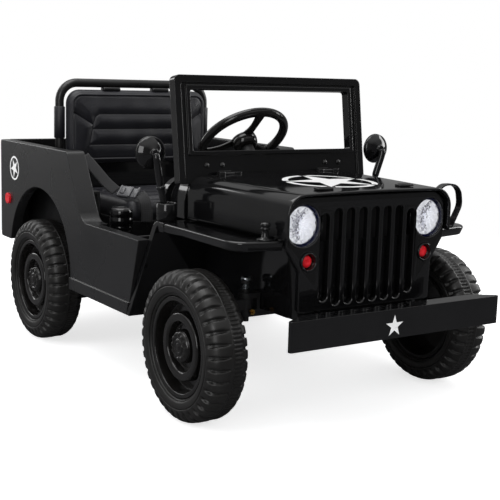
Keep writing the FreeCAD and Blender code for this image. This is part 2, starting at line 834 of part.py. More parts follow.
def hood():
    # A lofted shell, wider at the cowl than at the grille, rounded at its front.
    # Two rubber blocks lie on top.
    low, half, top = s.fender_top.value, s.hood_front_half.value, s.hood_front_top.value
    bend, edge, crown = s.hood_round.value, s.hood_edge.value, s.crown.value
    rear_x = s.cowl_front.value + s.seam.value
    front_x = grille_back.value - s.seam.value
    lip = []
    for turn in (0.0, 45.0, 90.0):
        ahead = edge * math.sin(math.radians(turn))
        down = edge * (1.0 - math.cos(math.radians(turn)))
        lip.append((front_x - edge + ahead, half - down, low, top - down, bend, crown / 3))
    main = [(rear_x, s.hood_rear_half.value, low, s.hood_top.value, bend, crown), lip[0]]
    pieces = [shell("hood_shell", main, s.hood_skin.value),
              shell("hood_lip", lip, s.hood_skin.value, 0.0, True)]
    for name, side in (("right", -1.0), ("left", 1.0)):
        middle = s.block_out * side
        length, width = s.block_length / 2, s.block_width / 2
        pieces.append(box("hood_block_" + name,
                          (s.block_x - length, middle - width, s.hood_front_top - s.hood_skin),
                          (s.block_x + length, middle + width, s.hood_front_top + s.block_rise)))
    return [fuse("hood", pieces)]


def grille_baffle():
    # The dark sheet behind the slots.
    half, front = s.nose_half - s.hood_skin - s.seat_fit, grille_back - s.baffle_gap
    return [box("grille_baffle", (front - s.baffle_thick, -half, s.nose_low + s.panel + s.seat_fit),
                (front, half, s.baffle_top))]


def grille_panel():
    body = new_body("grille_panel")
    sketch = new_sketch(body, "YZ_Plane", grille_back)
    half, bulge, top, edge = s.grille_half, s.grille_bulge, s.grille_top, s.grille_edge
    draw_outline(sketch, [
        (-half, s.grille_low), (half, s.grille_low), (half, s.bulge_low - 45.0, 10.0),
        (bulge, s.bulge_low, 12.0), (bulge, s.bulge_high, 20.0), (half, top, 24.0),
        (-half, top, 24.0), (-bulge, s.bulge_high, 20.0), (-bulge, s.bulge_low, 12.0),
        (-half, s.bulge_low - 45.0, 10.0)])
    panel = pad(body, sketch, s.grille_thick)
    doc.recompute()
    front = [f"Edge{index}" for index, line in enumerate(panel.Shape.Edges, 1)
             if line.BoundBox.XMin > s.grille_front.value - 0.01 and line.BoundBox.ZMax > s.grille_low.value + 1.0]
    rounding = body.newObject("PartDesign::Fillet", "Rounding_grille")
    rounding.Base = (panel, front)
    bind(rounding, "Radius", edge)
    slots = new_sketch(body, "YZ_Plane", s.grille_front + 1.0)
    count = int(s.slot_count.value)
    bend = s.slot_width * 0.45
    for index in range(count):
        middle = s.slot_pitch * (index - (count - 1) / 2.0)
        outer = index in (0, count - 1)
        low = s.slot_outer_low if outer else s.slot_low
        high = s.slot_outer_top if outer else s.slot_top
        draw_outline(slots, [
            (middle - s.slot_width / 2, low, bend), (middle + s.slot_width / 2, low, bend),
            (middle + s.slot_width / 2, high, bend), (middle - s.slot_width / 2, high, bend)])
    pocket(body, slots, s.grille_thick + 2.0)
    lamps = new_sketch(body, "YZ_Plane", s.grille_front + 1.0)
    for side in (-1.0, 1.0):
        draw_circle(lamps, s.lamp_out * side, s.lamp_level, s.lamp_hole)
    pocket(body, lamps, s.grille_thick + 2.0)
    return [body]


# Lamps

def turned(label, outline, x, y, z):
    # A round piece turned about an axis along X; outline gives (radius, forward) corners.
    body = new_body(label)
    sketch = new_sketch(body, "XY_Plane")
    draw_outline(sketch, outline)
    revolve(body, sketch, "V_Axis")
    place(body, x, y, z, FreeCAD.Rotation(FreeCAD.Vector(0, 1, 0), ALONG_X))
    return body


def headlamps():
    outer, lens, fit = s.lamp_hole - s.seat_fit, s.lamp_radius, s.seat_fit
    back, front = -s.lamp_depth, -s.lamp_recess
    bowl = turned("lamp_bowl", [
        (0.0, back), (outer, back), (outer, front), (lens + fit, front), (lens + fit, front - s.lens_rise),
        (lens - 4.0, front - s.lens_rise), (10.0, back + 3.0), (0.0, back + 3.0)],
        s.grille_front, -s.lamp_out, s.lamp_level)
    glass = turned("lamp_glass", [
        (0.0, front - s.lens_rise + fit), (lens, front - s.lens_rise + fit), (lens, front - 2.0, 1.5),
        (lens * 0.6, front + 1.0), (0.0, front + 2.5)], s.grille_front, -s.lamp_out, s.lamp_level)
    return hand(bowl, "headlamp") + hand(glass, "headlamp_lens")


def marker_lamps():
    # A red lens in a black rim with a short tab below it, on each side of the grille.
    rise, rim_radius = 3.0, s.marker_rim
    plate = new_body("marker_plate")
    sketch = new_sketch(plate, "YZ_Plane", s.grille_front)
    tab = rim_radius * 0.62
    draw_outline(sketch, [
        (-s.marker_out - tab, s.marker_level - s.marker_tab, 3.0), (-s.marker_out + tab,
                                                                    s.marker_level - s.marker_tab, 3.0),
        (-s.marker_out + rim_radius, s.marker_level - rim_radius * 0.5, 4.0),
        (-s.marker_out + rim_radius, s.marker_level + rim_radius, rim_radius * 0.8),
        (-s.marker_out - rim_radius, s.marker_level + rim_radius, rim_radius * 0.8),
        (-s.marker_out - rim_radius, s.marker_level - rim_radius * 0.5, 4.0)])
    pad(plate, sketch, rise)
    lens = turned("marker_glass", [
        (0.0, rise), (s.marker_radius, rise), (s.marker_radius, rise + 3.0), (s.marker_radius * 0.6,
                                                                              s.marker_rise + rise),
        (0.0, s.marker_rise + rise + 1.0)], s.grille_front, -s.marker_out, s.marker_level)
    bezel = hand(plate, "marker_bezel")
    joined = doc.addObject("Part::Compound", "marker_bezels")
    joined.Links = bezel
    joined.Label = "marker_bezels"
    return [joined] + hand(lens, "marker_lamp")


# Fenders and bumper

def fenders():
    body = new_body("fender")
    sketch = new_sketch(body, "XZ_Plane", fender_in)
    top, thick, lip, strip = s.fender_top, s.fender_thick, s.fender_lip, s.strip_width
    low = s.sill_front_low
    wide = s.tub_half_width + s.rocker_step
    draw_outline(sketch, [
        (s.fender_front, top - lip, 2.0), (s.fender_front, top, 6.0), (s.fender_rear, top, s.fender_bend),
        (low, s.sill_bottom), (low + strip, s.sill_bottom),
        (s.fender_rear + strip, top - thick, s.fender_bend - thick), (s.fender_front - thick, top - thick),
        (s.fender_front - thick, top - lip)])
    pad(body, sketch, wide - fender_in)
    skirt = new_sketch(body, "XZ_Plane", fender_half - thick)
    draw_outline(skirt, [
        (s.fender_front - thick, top - lip), (s.fender_front - thick, top - 2.0),
        (s.fender_rear + strip, top - 2.0), (s.fender_rear + strip + 6.0, top - lip)])
    pad(body, skirt, thick)
    flare = new_sketch(body, "YZ_Plane", s.fender_front + 1.0)
    rise = top - s.sill_bottom
    draw_outline(flare, [
        (-fender_half, top + 5.0), (-fender_half, top), (-wide - s.strip_flare, top - rise),
        (-wide - s.strip_flare, s.sill_bottom - 5.0), (-wide - 10.0, s.sill_bottom - 5.0), (-wide - 10.0,
                                                                                            top + 5.0)])
    pocket(body, flare, s.fender_front - low + 10.0)
    corner = new_sketch(body, "XY_Plane", top + 1.0)
    draw_box(corner, grille_back - s.seat_fit, -s.grille_bulge - s.seam, s.fender_front + 1.0,
             -s.nose_half + 1.0)
    pocket(body, corner, lip + 3.0)
    return hand(body, "front_fender")


def lamp_guard():
    # A flat strip bent into a hoop that stands on the left fender.
    body = new_body("lamp_guard")
    sketch = new_sketch(body, "YZ_Plane", s.guard_x - s.guard_strip)
    middle, half, wall = s.guard_out, s.guard_half, s.guard_wall
    low = s.fender_top
    high = s.fender_top + s.guard_height
    draw_outline(sketch, [
        (middle - half / 2, low), (middle + half / 2, low), (middle + half * 1.25,
                                                             low + s.guard_height / 2, half),
        (middle + half, high, half * 0.9), (middle - half, high, half * 0.9),
        (middle - half, low + s.guard_height / 2, half)])
    draw_outline(sketch, [
        (middle - half / 2 + wall, low + wall), (middle + half / 2 - wall, low + wall),
        (middle + half * 1.25 - wall, low + s.guard_height / 2, half),
        (middle + half - wall, high - wall, half * 0.9 - wall), (middle - half + wall, high - wall,
                                                                 half * 0.9 - wall),
        (middle - half + wall, low + s.guard_height / 2, half)])
    pad(body, sketch, s.guard_strip)
    return [body]


def fender_fitting():
    # The small post on the right fender.
    post = rod("post", s.post_radius, s.post_height, s.post_x, -s.post_out, s.fender_top, ALONG_Z)
    foot = rod("post_foot", s.post_foot, s.lug_height / 2, s.post_x, -s.post_out, s.fender_top, ALONG_Z)
    cap = rod("post_cap", s.post_cap, s.post_cap_height, s.post_x, -s.post_out,
              s.fender_top + s.post_height - s.post_radius, ALONG_Z)
    return [fuse("fender_fitting", [post, foot, cap])]


def bumper():
    # A channel open at the back, its flanges cut slanting towards the ends.
    body = new_body("bumper")
    sketch = new_sketch(body, "XY_Plane", s.bumper_low)
    half, front, skin, rear = s.bumper_half, s.bumper_front, s.bumper_skin, s.bumper_front - s.bumper_flange
    end, short = front - s.bumper_end, s.bumper_half - s.bumper_inset
    draw_outline(sketch, [
        (rear, -short), (end, -half), (front, -half, s.bumper_bend), (front, half, s.bumper_bend),
        (end, half), (rear, short)])
    pad(body, sketch, s.bumper_top - s.bumper_low)
    inside = new_sketch(body, "XY_Plane", s.bumper_top - skin)
    narrow = skin * 3.0
    draw_outline(inside, [
        (rear - 1.0, -short + narrow), (front - skin, -half + narrow), (front - skin, half - narrow),
        (rear - 1.0, short - narrow)])
    pocket(body, inside, s.bumper_top - s.bumper_low - skin * 2.0)
    return [body]


def bumper_bracket():
    low = s.bumper_low + s.bracket_rise
    return [box("bumper_bracket", (grille_back, -s.rail_out, low),
                (s.bumper_front - s.bumper_skin, s.rail_out, low + s.bracket_tall))]


# Windscreen

def screen_frame():
    # The frame upright about its foot: a raised band, a groove and a lip round the opening.
    body = new_body("screen_panel")
    half, tall, step = s.screen_half, s.screen_height, s.screen_step
    side, low, head, band, lip = s.screen_side, s.screen_bottom, s.screen_head, s.screen_band, s.screen_lip
    sketch = new_sketch(body, "YZ_Plane")
    draw_outline(sketch, [(-half, 0.0, 4.0), (half, 0.0, 4.0), (half, tall, 12.0), (-half, tall, 12.0)])
    pad(body, sketch, s.screen_thick)
    groove = new_sketch(body, "YZ_Plane", s.screen_thick)
    draw_outline(groove, [
        (-half + band, -tall), (half - band, -tall), (half - band, tall - band, 4.0), (-half + band,
                                                                                       tall - band, 4.0)])
    draw_outline(groove, [
        (-half + side - lip, low - lip, 3.0), (half - side + lip, low - lip, 3.0),
        (half - side + lip, tall - head + lip, 3.0), (-half + side - lip, tall - head + lip, 3.0)])
    pocket(body, groove, step)
    opening = new_sketch(body, "YZ_Plane", s.screen_thick + 1.0)
    draw_outline(opening, [
        (-half + side, low, 3.0), (half - side, low, 3.0),
        (half - side, tall - head, 6.0), (-half + side, tall - head, 6.0)])
    pocket(body, opening, s.screen_thick + 2.0)
    place(body, s.screen_foot_x - s.screen_thick, 0.0, s.screen_low,
          FreeCAD.Rotation(ALONG_Y, -s.screen_rake.value))
    return body


def cowl_clearance():
    # The cowl's outline with a little room round it, to shape the foot of the windscreen.
    gap = s.screen_gap.value
    ends = [(x, s.cowl_half_width.value + gap, s.sill_top.value, s.cowl_top.value + gap,
             s.cowl_round.value + gap, s.crown.value)
            for x in (s.cowl_band_front.value, s.hinge_x.value + s.screen_thick.value)]
    part = doc.addObject("Part::Feature", "cowl_clearance")
    part.Shape = Part.makeLoft([section(*end) for end in ends], True)
    return part


def windscreen():
    frame = cut("screen_cut", screen_frame(), cowl_clearance())
    pieces = [frame]
    for name, side in (("right", -1.0), ("left", 1.0)):
        middle = s.hinge_out * side
        reach = s.hinge_half + s.hinge_leaf
        pieces += [
            box("screen_leaf_" + name,
                (s.screen_foot_x - s.screen_step * 2.0, middle - s.hinge_half, s.hinge_level - 1.5),
                (s.hinge_x, middle + s.hinge_half, s.hinge_level + s.hinge_eye)),
            rod("screen_eye_" + name, s.hinge_eye, s.hinge_half * 2.0, s.hinge_x, middle - s.hinge_half,
                s.hinge_level, ALONG_Y),
            rod("screen_pin_" + name, s.hinge_pin, reach * 2.0, s.hinge_x, middle - reach, s.hinge_level,
                ALONG_Y)]
    return [fuse("windscreen_frame", pieces)]


def screen_hinges():
    # Two pairs of ears on the hood that hold the windscreen's hinge pins.
    ears = []
    reach = s.hinge_out - s.hinge_half - s.hinge_leaf
    spread = s.hood_rear_half - s.hood_round
    low = s.hood_top - s.crown * (reach / spread) * (reach / spread) + s.seat_fit
    for name, side in (("right", -1.0), ("left", 1.0)):
        for part, end in (("outer", 1.0), ("inner", -1.0)):
            near = (s.hinge_out + (s.hinge_half + s.hinge_gap) * end) * side
            far = (s.hinge_out + (s.hinge_half + s.hinge_leaf) * end) * side
            first, last = sorted([near, far], key=amount)
            ears.append(box(f"hinge_ear_{part}_{name}", (s.hinge_x - s.hinge_eye - 1.0, first, low),
                            (s.hinge_x + s.hinge_eye + 1.0, last, s.hinge_level + s.hinge_eye)))
    hole = rod("hinge_hole", s.hinge_pin + s.axle_play, s.screen_half * 2.0, s.hinge_x,
               -s.screen_half, s.hinge_level, ALONG_Y)
    return [cut("screen_hinges", fuse("hinge_ears", ears), hole)]


# Steering wheel and column

def steering():
    up_back = column_line()
    turn = FreeCAD.Rotation(ALONG_Z, up_back)
    rim_ring = doc.addObject("Part::Torus", "steering_ring")
    bind(rim_ring, "Radius1", s.steer_radius)
    bind(rim_ring, "Radius2", s.steer_tube)
    place(rim_ring, s.steer_x, 0.0, s.steer_level, turn)
    low = up_back * -s.steer_hub_low.value
    hub = rod("steering_hub", s.steer_hub, s.steer_hub_low + s.steer_hub_high,
              s.steer_x + low.x, low.y, s.steer_level + low.z, up_back)
    pieces = [rim_ring, hub]
    across = turn.multVec(FreeCAD.Vector(1, 0, 0))
    upright = math.degrees(math.atan2(up_back.cross(across).x, across.x))
    for index in range(3):
        spoke = doc.addObject("Part::Box", f"spoke_{index}")
        bind(spoke, "Length", s.steer_radius - s.steer_tube)
        bind(spoke, "Width", s.spoke_width)
        bind(spoke, "Height", s.spoke_thick)
        whole = turn.multiply(FreeCAD.Rotation(ALONG_Z, upright + index * 120.0))
        offset = whole.multVec(FreeCAD.Vector(s.steer_tube.value, -s.spoke_width.value / 2,
                                              -s.spoke_thick.value / 2))
        place(spoke, s.steer_x + offset.x, offset.y, s.steer_level + offset.z, whole)
        pieces.append(spoke)
    wheel = fuse("steering_wheel", pieces)
    foot = up_back * -(s.steer_hub_low.value + s.seat_fit.value + s.column_length.value)
    column = rod("steering_column", s.column_radius, s.column_length,
                 s.steer_x + foot.x, foot.y, s.steer_level + foot.z, up_back)
    return [wheel, column]


# Seat, belt and roll bar

def seat():
    shell_front = shell_rear + s.shell_thick
    pad_rear = shell_front + s.seat_fit
    base = box("seat_base", (shell_rear + s.seat_fit, -s.seat_half, floor_top),
               (-seat_front, s.seat_half, s.seat_base_top))
    shell_plate = box("backrest_shell", (shell_rear, -s.back_half, s.seat_base_top + s.seat_fit),
                      (shell_front, s.back_half, s.back_top - s.back_bend))
    cushion = new_body("seat_cushion")
    sketch = new_sketch(cushion, "XZ_Plane", -s.seat_half)
    low, rear = s.seat_base_top + s.seat_fit, pad_rear
    draw_outline(sketch, [
        (rear, low), (-seat_front, low, 6.0), (-seat_front, cushion_top, s.cushion_bend), (rear,
                                                                                           cushion_top, 6.0)])
    pad(cushion, sketch, s.seat_half * 2.0)
    back = new_body("backrest_pad")
    sketch = new_sketch(back, "YZ_Plane", pad_rear)
    draw_outline(sketch, [
        (-s.back_half, s.back_low, 10.0), (s.back_half, s.back_low, 10.0),
        (s.back_half, s.back_top, s.back_bend), (-s.back_half, s.back_top, s.back_bend)])
    pad(back, sketch, s.back_thick)
    return [base, cushion, shell_plate, back]


def strap(name, start, end, width, thick):
    # A flat band from start to end, lying level across its width.
    line = end - start
    band = doc.addObject("Part::Box", name)
    bind(band, "Length", line.Length)
    bind(band, "Width", width)
    bind(band, "Height", thick)
    heading = FreeCAD.Rotation(ALONG_Z, math.degrees(math.atan2(line.y, line.x)))
    fall = FreeCAD.Rotation(ALONG_Y, -math.degrees(math.asin(line.z / line.Length)))
    whole = heading.multiply(fall)
    offset = start + whole.multVec(FreeCAD.Vector(0, -amount(width) / 2, 0))
    place(band, offset.x, offset.y, offset.z, whole)
    return band


def belt():
    # A lap belt from the right of the backrest to its buckle on the cushion.
    level = cushion_top.value + s.seat_fit.value
    top = FreeCAD.Vector(-strap_top_x.value, -s.strap_top_out.value, s.strap_top_level.value)
    middle = FreeCAD.Vector(-buckle_x.value, -s.buckle_out.value, level)
    line = (middle - top).normalize()
    buckle_end = middle + FreeCAD.Vector(line.x, line.y, 0).normalize() * s.buckle_length.value
    tail_end = buckle_end + FreeCAD.Vector(0, s.seat_half.value, 0)
    upper = strap("strap_upper", top, middle, s.strap_width, s.strap_thick)
    lower = strap("strap_lower", buckle_end + FreeCAD.Vector(0, 1.0, 0), tail_end, s.strap_width,
                  s.strap_thick)
    buckle = strap("belt_buckle", middle, buckle_end, s.buckle_width, s.buckle_thick)
    both = fuse("seat_belt_whole", [upper, lower])
    return [cut("seat_belt", both, buckle), buckle]


def roll_bar():
    half, top, bend = s.bar_half.value, s.bar_top.value, s.bar_bend.value
    foot = floor_top.value + s.seat_fit.value
    x = -bar_x.value
    turn = bend * math.sqrt(0.5)
    right = [FreeCAD.Vector(x, -half, foot), FreeCAD.Vector(x, -half, top - bend),
             FreeCAD.Vector(x, -half + bend - turn, top - bend + turn), FreeCAD.Vector(x, -half + bend,
                                                                                       top)]
    left = [FreeCAD.Vector(x, -point.y, point.z) for point in right]
    path = Part.Wire([
        Part.makeLine(right[0], right[1]), Part.Arc(right[1], right[2], right[3]).toShape(),
        Part.makeLine(right[3], left[3]), Part.Arc(left[3], left[2], left[1]).toShape(),
        Part.makeLine(left[1], left[0])])
    ring = Part.Wire([Part.makeCircle(s.bar_tube.value, right[0], ALONG_Z)])
    part = doc.addObject("Part::Feature", "roll_bar")
    part.Shape = path.makePipeShell([ring], True, False)
    return [part]


# Mirrors and small fittings

def mirror(name, out):
    # A round head with a domed back, on a stem that stands in a cup on the fender.
    radius = s.mirror_radius
    head = turned("mirror_head", [
        (0.0, -s.mirror_rim), (radius, -s.mirror_rim, 1.5), (radius, 0.0, 1.5), (radius * 0.72,
                                                                                 s.mirror_dome * 0.62),
        (radius * 0.3, s.mirror_dome), (0.0, s.mirror_dome)], s.mirror_x, -out, s.mirror_level)
    foot = FreeCAD.Vector(s.cup_x.value, -s.cup_out.value, s.fender_top.value)
    neck = FreeCAD.Vector(s.mirror_x.value + s.mirror_dome.value, -out.value, s.mirror_level.value)
    along = neck - foot
    stem = rod("mirror_stem", s.stem_radius, along.Length, s.cup_x, -s.cup_out, s.fender_top, along)
    ring = foot + along * 0.52
    collar = rod("mirror_collar", s.collar_radius, s.collar_radius, ring.x, ring.y, ring.z, along)
    knob = rod("mirror_knob", s.collar_radius, s.mirror_dome * 1.2, s.mirror_x, -out, s.mirror_level,
               ALONG_X)
    cup = rod("mirror_cup", s.cup_radius, s.cup_height, s.cup_x, -s.cup_out, s.fender_top + s.seat_fit,
              ALONG_Z)
    inner = rod("mirror_cup_inside", s.cup_radius - 3.0, s.cup_height, s.cup_x, -s.cup_out,
                s.fender_top + s.cup_height / 2, ALONG_Z)
    hollow_cup = cut("mirror_cup_open", cup, inner)
    floor_cut = box("mirror_floor_cut", (s.cup_x - 30.0, -s.cup_out - 30.0, s.fender_top - 30.0),
                    (s.cup_x + 30.0, -s.cup_out + 30.0, s.fender_top + s.seat_fit))
    whole = fuse("mirror_whole", [head, stem, collar, knob, hollow_cup])
    return cut(name, whole, floor_cut)


def mirrors():
    left = mirror("mirror_other", s.mirror_left_out)
    return [mirror("mirror_right", s.mirror_out), mirror_left(left, "mirror_left")]


def pair(label, source):
    # Two like pieces, one on each side of the car, kept as one node.
    both = doc.addObject("Part::Compound", "Pair_" + label)
    both.Links = [source, mirror_left(source, label + "_twin")]
    both.Label = label
    return [both]


def reflectors():
    side = rod("side_reflector", s.reflector_radius, s.lens_rise, -reflector_x,
               -s.tub_half_width - s.lens_rise, s.reflector_level, ALONG_Y)
    tail = rod("tail_lamp", s.tail_lamp_radius, s.lens_rise, -tub_rear - s.lens_rise,
               -s.tail_lamp_out, s.tail_lamp_level, ALONG_X)
    console = rod("side_console", s.console_radius, s.console_top - floor_top - s.seat_fit, -console_x,
                  -s.console_out, floor_top + s.seat_fit, ALONG_Z)
    return pair("side_reflectors", side) + pair("tail_lamps", tail) + [console]


# Hidden mass

def battery():
    return [box("battery_block",
                (s.sill_front_low + s.floor_thick, -s.battery_half, s.carrier_low + s.panel),
                (s.battery_front, s.battery_half, s.battery_top))]


def motors():
    pieces = []
    for name, side in (("right", -1.0), ("left", 1.0)):
        low, high = sorted([s.gearbox_out * side, (s.gearbox_out + s.gearbox_half * 2.0) * side],
                           key=amount)
        pieces.append(box("gearbox_" + name,
                          (rear_axle_x - s.gearbox_rear, low, axle_level - s.gearbox_half),
                          (rear_axle_x + s.gearbox_front, high, s.sill_bottom)))
    hole = rod("gearbox_hole", s.axle_radius + s.axle_play, s.tub_half_width * 2.0, rear_axle_x,
               -s.tub_half_width, axle_level, ALONG_Y)
    return [cut("motor_gearboxes", fuse("gearboxes", pieces), hole)]


NODES = (wheels() + rear_axle() + front_axle_beam() + knuckles() + tub_sides() + rear_panel()
         + floor_pan() + load_floor() + wheel_houses() + chassis() + front_carrier() + nose_box() + cowl()
         + dashboard() + firewall() + hood() + grille_baffle() + grille_panel() + headlamps() + marker_lamps() + fenders()
         + lamp_guard() + fender_fitting() + bumper() + bumper_bracket() + windscreen() + screen_hinges()
         + steering() + seat() + belt() + roll_bar() + mirrors() + reflectors() + battery() + motors())

doc.recompute()
for thing in doc.Objects:
    if "Invalid" in thing.State or "Error" in thing.State:
        raise RuntimeError(f"{thing.Label} failed: {thing.State}")
os.makedirs("parts", exist_ok=True)
for node in NODES:
    shape = node.Shape
    if shape.isNull() or not shape.isValid():
        raise RuntimeError(f"{node.Label} has no valid shape")
    shape.exportStep(f"parts/{node.Label}.step")
    print(f"{node.Label}: {len(shape.Solids)} solid, {shape.Volume / 1000:.0f} cm3")
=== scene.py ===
import math
import bmesh
import bpy
import numpy as np
from mathutils import Matrix, Vector


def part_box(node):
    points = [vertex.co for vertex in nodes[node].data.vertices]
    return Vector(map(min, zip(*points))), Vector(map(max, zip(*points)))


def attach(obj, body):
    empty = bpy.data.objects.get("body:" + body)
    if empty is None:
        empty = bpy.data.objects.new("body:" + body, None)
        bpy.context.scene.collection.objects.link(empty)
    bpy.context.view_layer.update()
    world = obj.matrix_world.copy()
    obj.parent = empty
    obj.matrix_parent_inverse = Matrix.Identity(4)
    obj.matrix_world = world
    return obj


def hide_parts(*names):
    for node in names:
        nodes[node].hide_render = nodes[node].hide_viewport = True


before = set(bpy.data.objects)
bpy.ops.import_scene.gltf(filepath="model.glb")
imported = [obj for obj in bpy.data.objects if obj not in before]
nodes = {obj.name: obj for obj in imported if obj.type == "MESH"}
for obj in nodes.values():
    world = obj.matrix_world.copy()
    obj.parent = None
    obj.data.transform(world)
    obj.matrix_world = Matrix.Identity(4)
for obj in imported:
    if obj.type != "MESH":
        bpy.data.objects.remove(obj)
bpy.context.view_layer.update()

rng = np.random.default_rng(41)
print("stage: frame loaded,", len(nodes), "nodes")

# Small helpers


def hexToLinear(code):
    # sRGB hex to linear light: below 0.04045 a straight line, above it ((c + 0.055) / 1.055) to the power 2.4
    rgb = np.array([int(code[i:i + 2], 16) for i in (1, 3, 5)]) / 255
    linear = np.where(rgb > 0.04045, ((rgb + 0.055) / 1.055) ** 2.4, rgb / 12.92)
    return (*(float(c) for c in linear), 1.0)


def addNode(tree, kind, settings=None, inputs=None):
    # one node: its settings are properties, and its inputs are linked, as (node, output), or set to a value
    node = tree.nodes.new(kind)
    for name, value in (settings or {}).items():
        setattr(node, name, value)
    for name, value in (inputs or {}).items():
        if isinstance(value, tuple) and hasattr(value[0], "outputs"):
            tree.links.new(value[0].outputs[value[1]], node.inputs[name])
        else:
            node.inputs[name].default_value = value
    return node


def startMaterial(name):
    # an empty node tree, and the object's own coordinates, in metres, for its patterns
    material = bpy.data.materials.new(name)
    material.use_nodes = True
    tree = material.node_tree
    tree.nodes.clear()
    return material, tree, (addNode(tree, "ShaderNodeTexCoord"), "Object")


def finishMaterial(material, shader):
    addNode(material.node_tree, "ShaderNodeOutputMaterial", None, {"Surface": (shader, 0)})
    return material


def addSpread(tree, source, low, high, fromLow=0.3, fromHigh=0.7):
    # maps a noise value onto the span from low to high; this and the next helpers return (node, output)
    return addNode(tree, "ShaderNodeMapRange", None, {
        "Value": source, "From Min": fromLow, "From Max": fromHigh, "To Min": low, "To Max": high}), 0


def addRamp(tree, source, span, values):
    # a soft step from the first value to the second over the span
    limits = {"From Min": span[0], "From Max": span[1], "To Min": values[0], "To Max": values[1]}
    inputs = {"Value": source, **limits}
    return addNode(tree, "ShaderNodeMapRange", {"interpolation_type": "SMOOTHSTEP"}, inputs), 0


def addNoise(tree, place, sizeMm, detail):
    # a noise whose clouds are about the given size wide
    return addNode(tree, "ShaderNodeTexNoise", None, {
        "Vector": place, "Scale": 1000 / sizeMm, "Detail": detail}), "Fac"


def addMix(tree, share, first, second):
    # from the first colour to the second as the share grows
    return addNode(tree, "ShaderNodeMix", {"data_type": "RGBA"}, {
        0: share, 6: hexToLinear(first), 7: hexToLinear(second)}), 2


def addBump(tree, height, depthMm, normal=None):
    inputs = {"Distance": depthMm / 1000, "Height": height}
    if normal:
        inputs["Normal"] = normal
    return addNode(tree, "ShaderNodeBump", None, inputs), 0


def addMath(tree, operation, first, second):
    return addNode(tree, "ShaderNodeMath", {"operation": operation}, {0: first, 1: second}), 0


def addSurface(tree, inputs):
    return addNode(tree, "ShaderNodeBsdfPrincipled", None, inputs)


def linked(thing):
    bpy.context.scene.collection.objects.link(thing)
    return thing


def closeMesh(mesh, longest=0.00012):
    # merges doubles, fills the small round hole that a turned shape leaves at its pole, and then turns the
    # faces of a closed shell outwards
    work = bmesh.new()
    work.from_mesh(mesh)
    bmesh.ops.remove_doubles(work, verts=work.verts, dist=1e-6)
    rims = [edge for edge in work.edges if edge.is_boundary and edge.calc_length() < longest]
    if rims:
        bmesh.ops.holes_fill(work, edges=rims, sides=0)
    if not any(edge.is_boundary for edge in work.edges):
        bmesh.ops.recalc_face_normals(work, faces=work.faces)
    work.to_mesh(mesh)
    work.free()


def meshPiece(name, points, faces, body, slot, material, smooth=True):
    # a finished mesh from an array of points and a list of faces, riding on its body
    mesh = bpy.data.meshes.new(name)
    mesh.from_pydata(np.asarray(points, float).reshape(-1, 3).tolist(), [], [list(f) for f in faces])
    mesh.polygons.foreach_set("use_smooth", np.full(len(mesh.polygons), smooth))
    mesh.materials.append(material)
    closeMesh(mesh)
    mesh.update()
    piece = linked(bpy.data.objects.new(name, mesh))
    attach(piece, body)
    return piece


def mmPiece(name, shape, body, slot, material, smooth=True):
    # the same from one (points, faces) pair in millimetres
    return meshPiece(name, np.asarray(shape[0]) / 1000, shape[1], body, slot, material, smooth)


def fullTurn(count):
    # angles once round, without the last one, which would be the first again
    return np.linspace(0, 2 * np.pi, count, endpoint=False)


def unit(vector):
    return vector / np.linalg.norm(vector)


def unitRows(vectors):
    return vectors / np.linalg.norm(vectors, axis=1)[:, None]


def travelAlong(line):
    # how far each point of a line is from its start, along the line
    return np.r_[0, np.cumsum(np.linalg.norm(np.diff(line, axis=0), axis=1))]


def gridFaces(rows, columns, wrapRows=False, wrapColumns=False, start=0):
    # the quads of a grid of points, row after row; a wrapped way joins its last line to its first
    r = np.arange(rows if wrapRows else rows - 1)
    c = np.arange(columns if wrapColumns else columns - 1)
    a, b = np.meshgrid(r, c, indexing="ij")
    a2, b2 = (a + 1) % rows, (b + 1) % columns
    corners = [a * columns + b, a * columns + b2, a2 * columns + b2, a2 * columns + b]
    return (start + np.stack(corners, -1)).reshape(-1, 4)


def smoothStep(t):
    # 0 below 0, 1 above 1, and 3t^2 - 2t^3 between
    t = np.clip(t, 0, 1)
    return t * t * (3 - 2 * t)


def throughPoints(points, count):
    # Catmull-Rom: a smooth line through the given points, sampled count times
    p = np.asarray(points, float)
    p = np.vstack([2 * p[0] - p[1], p, 2 * p[-1] - p[-2]])
    t = np.linspace(0, len(p) - 3 - 1e-9, count)
    i, f = t.astype(int), (t % 1)[:, None]
    a, b, c, d = p[i], p[i + 1], p[i + 2], p[i + 3]
    bend, twist = 2 * a - 5 * b + 4 * c - d, 3 * b - a - 3 * c + d
    return 0.5 * (2 * b + (c - a) * f + bend * f ** 2 + twist * f ** 3)


def turned(profile, axis, centre, segments, wobble=None):
    # a profile of (along, radius) pairs turned about an axis; wobble adds to the radius from (row, angle)
    axis = Vector(axis).normalized()
    side = axis.orthogonal().normalized()
    up = axis.cross(side)
    angle = fullTurn(segments)
    along, radius = np.asarray(profile, float).T
    radius = radius[:, None]
    if wobble:
        radius = radius + wobble(np.arange(len(along))[:, None], angle[None, :])
    points = (np.asarray(centre) + along[:, None, None] * np.asarray(axis)
              + (radius * np.cos(angle))[..., None] * np.asarray(side)
              + (radius * np.sin(angle))[..., None] * np.asarray(up))
    return points.reshape(-1, 3), gridFaces(len(along), segments, wrapColumns=True)


def joinParts(parts):
    # several (points, faces) pairs as one
    points, faces, count = [], [], 0
    for somePoints, someFaces in parts:
        somePoints = np.asarray(somePoints, float).reshape(-1, 3)
        points.append(somePoints)
        faces += [[int(i) + count for i in face] for face in someFaces]
        count += len(somePoints)
    return np.vstack(points), faces


# Camera, floor and light
view = {"place": (1.9009, -1.2110, 0.6202), "lens": 75.3136, "yaw": 2.5525, "pitch": -0.1681, "roll": 0.0300}


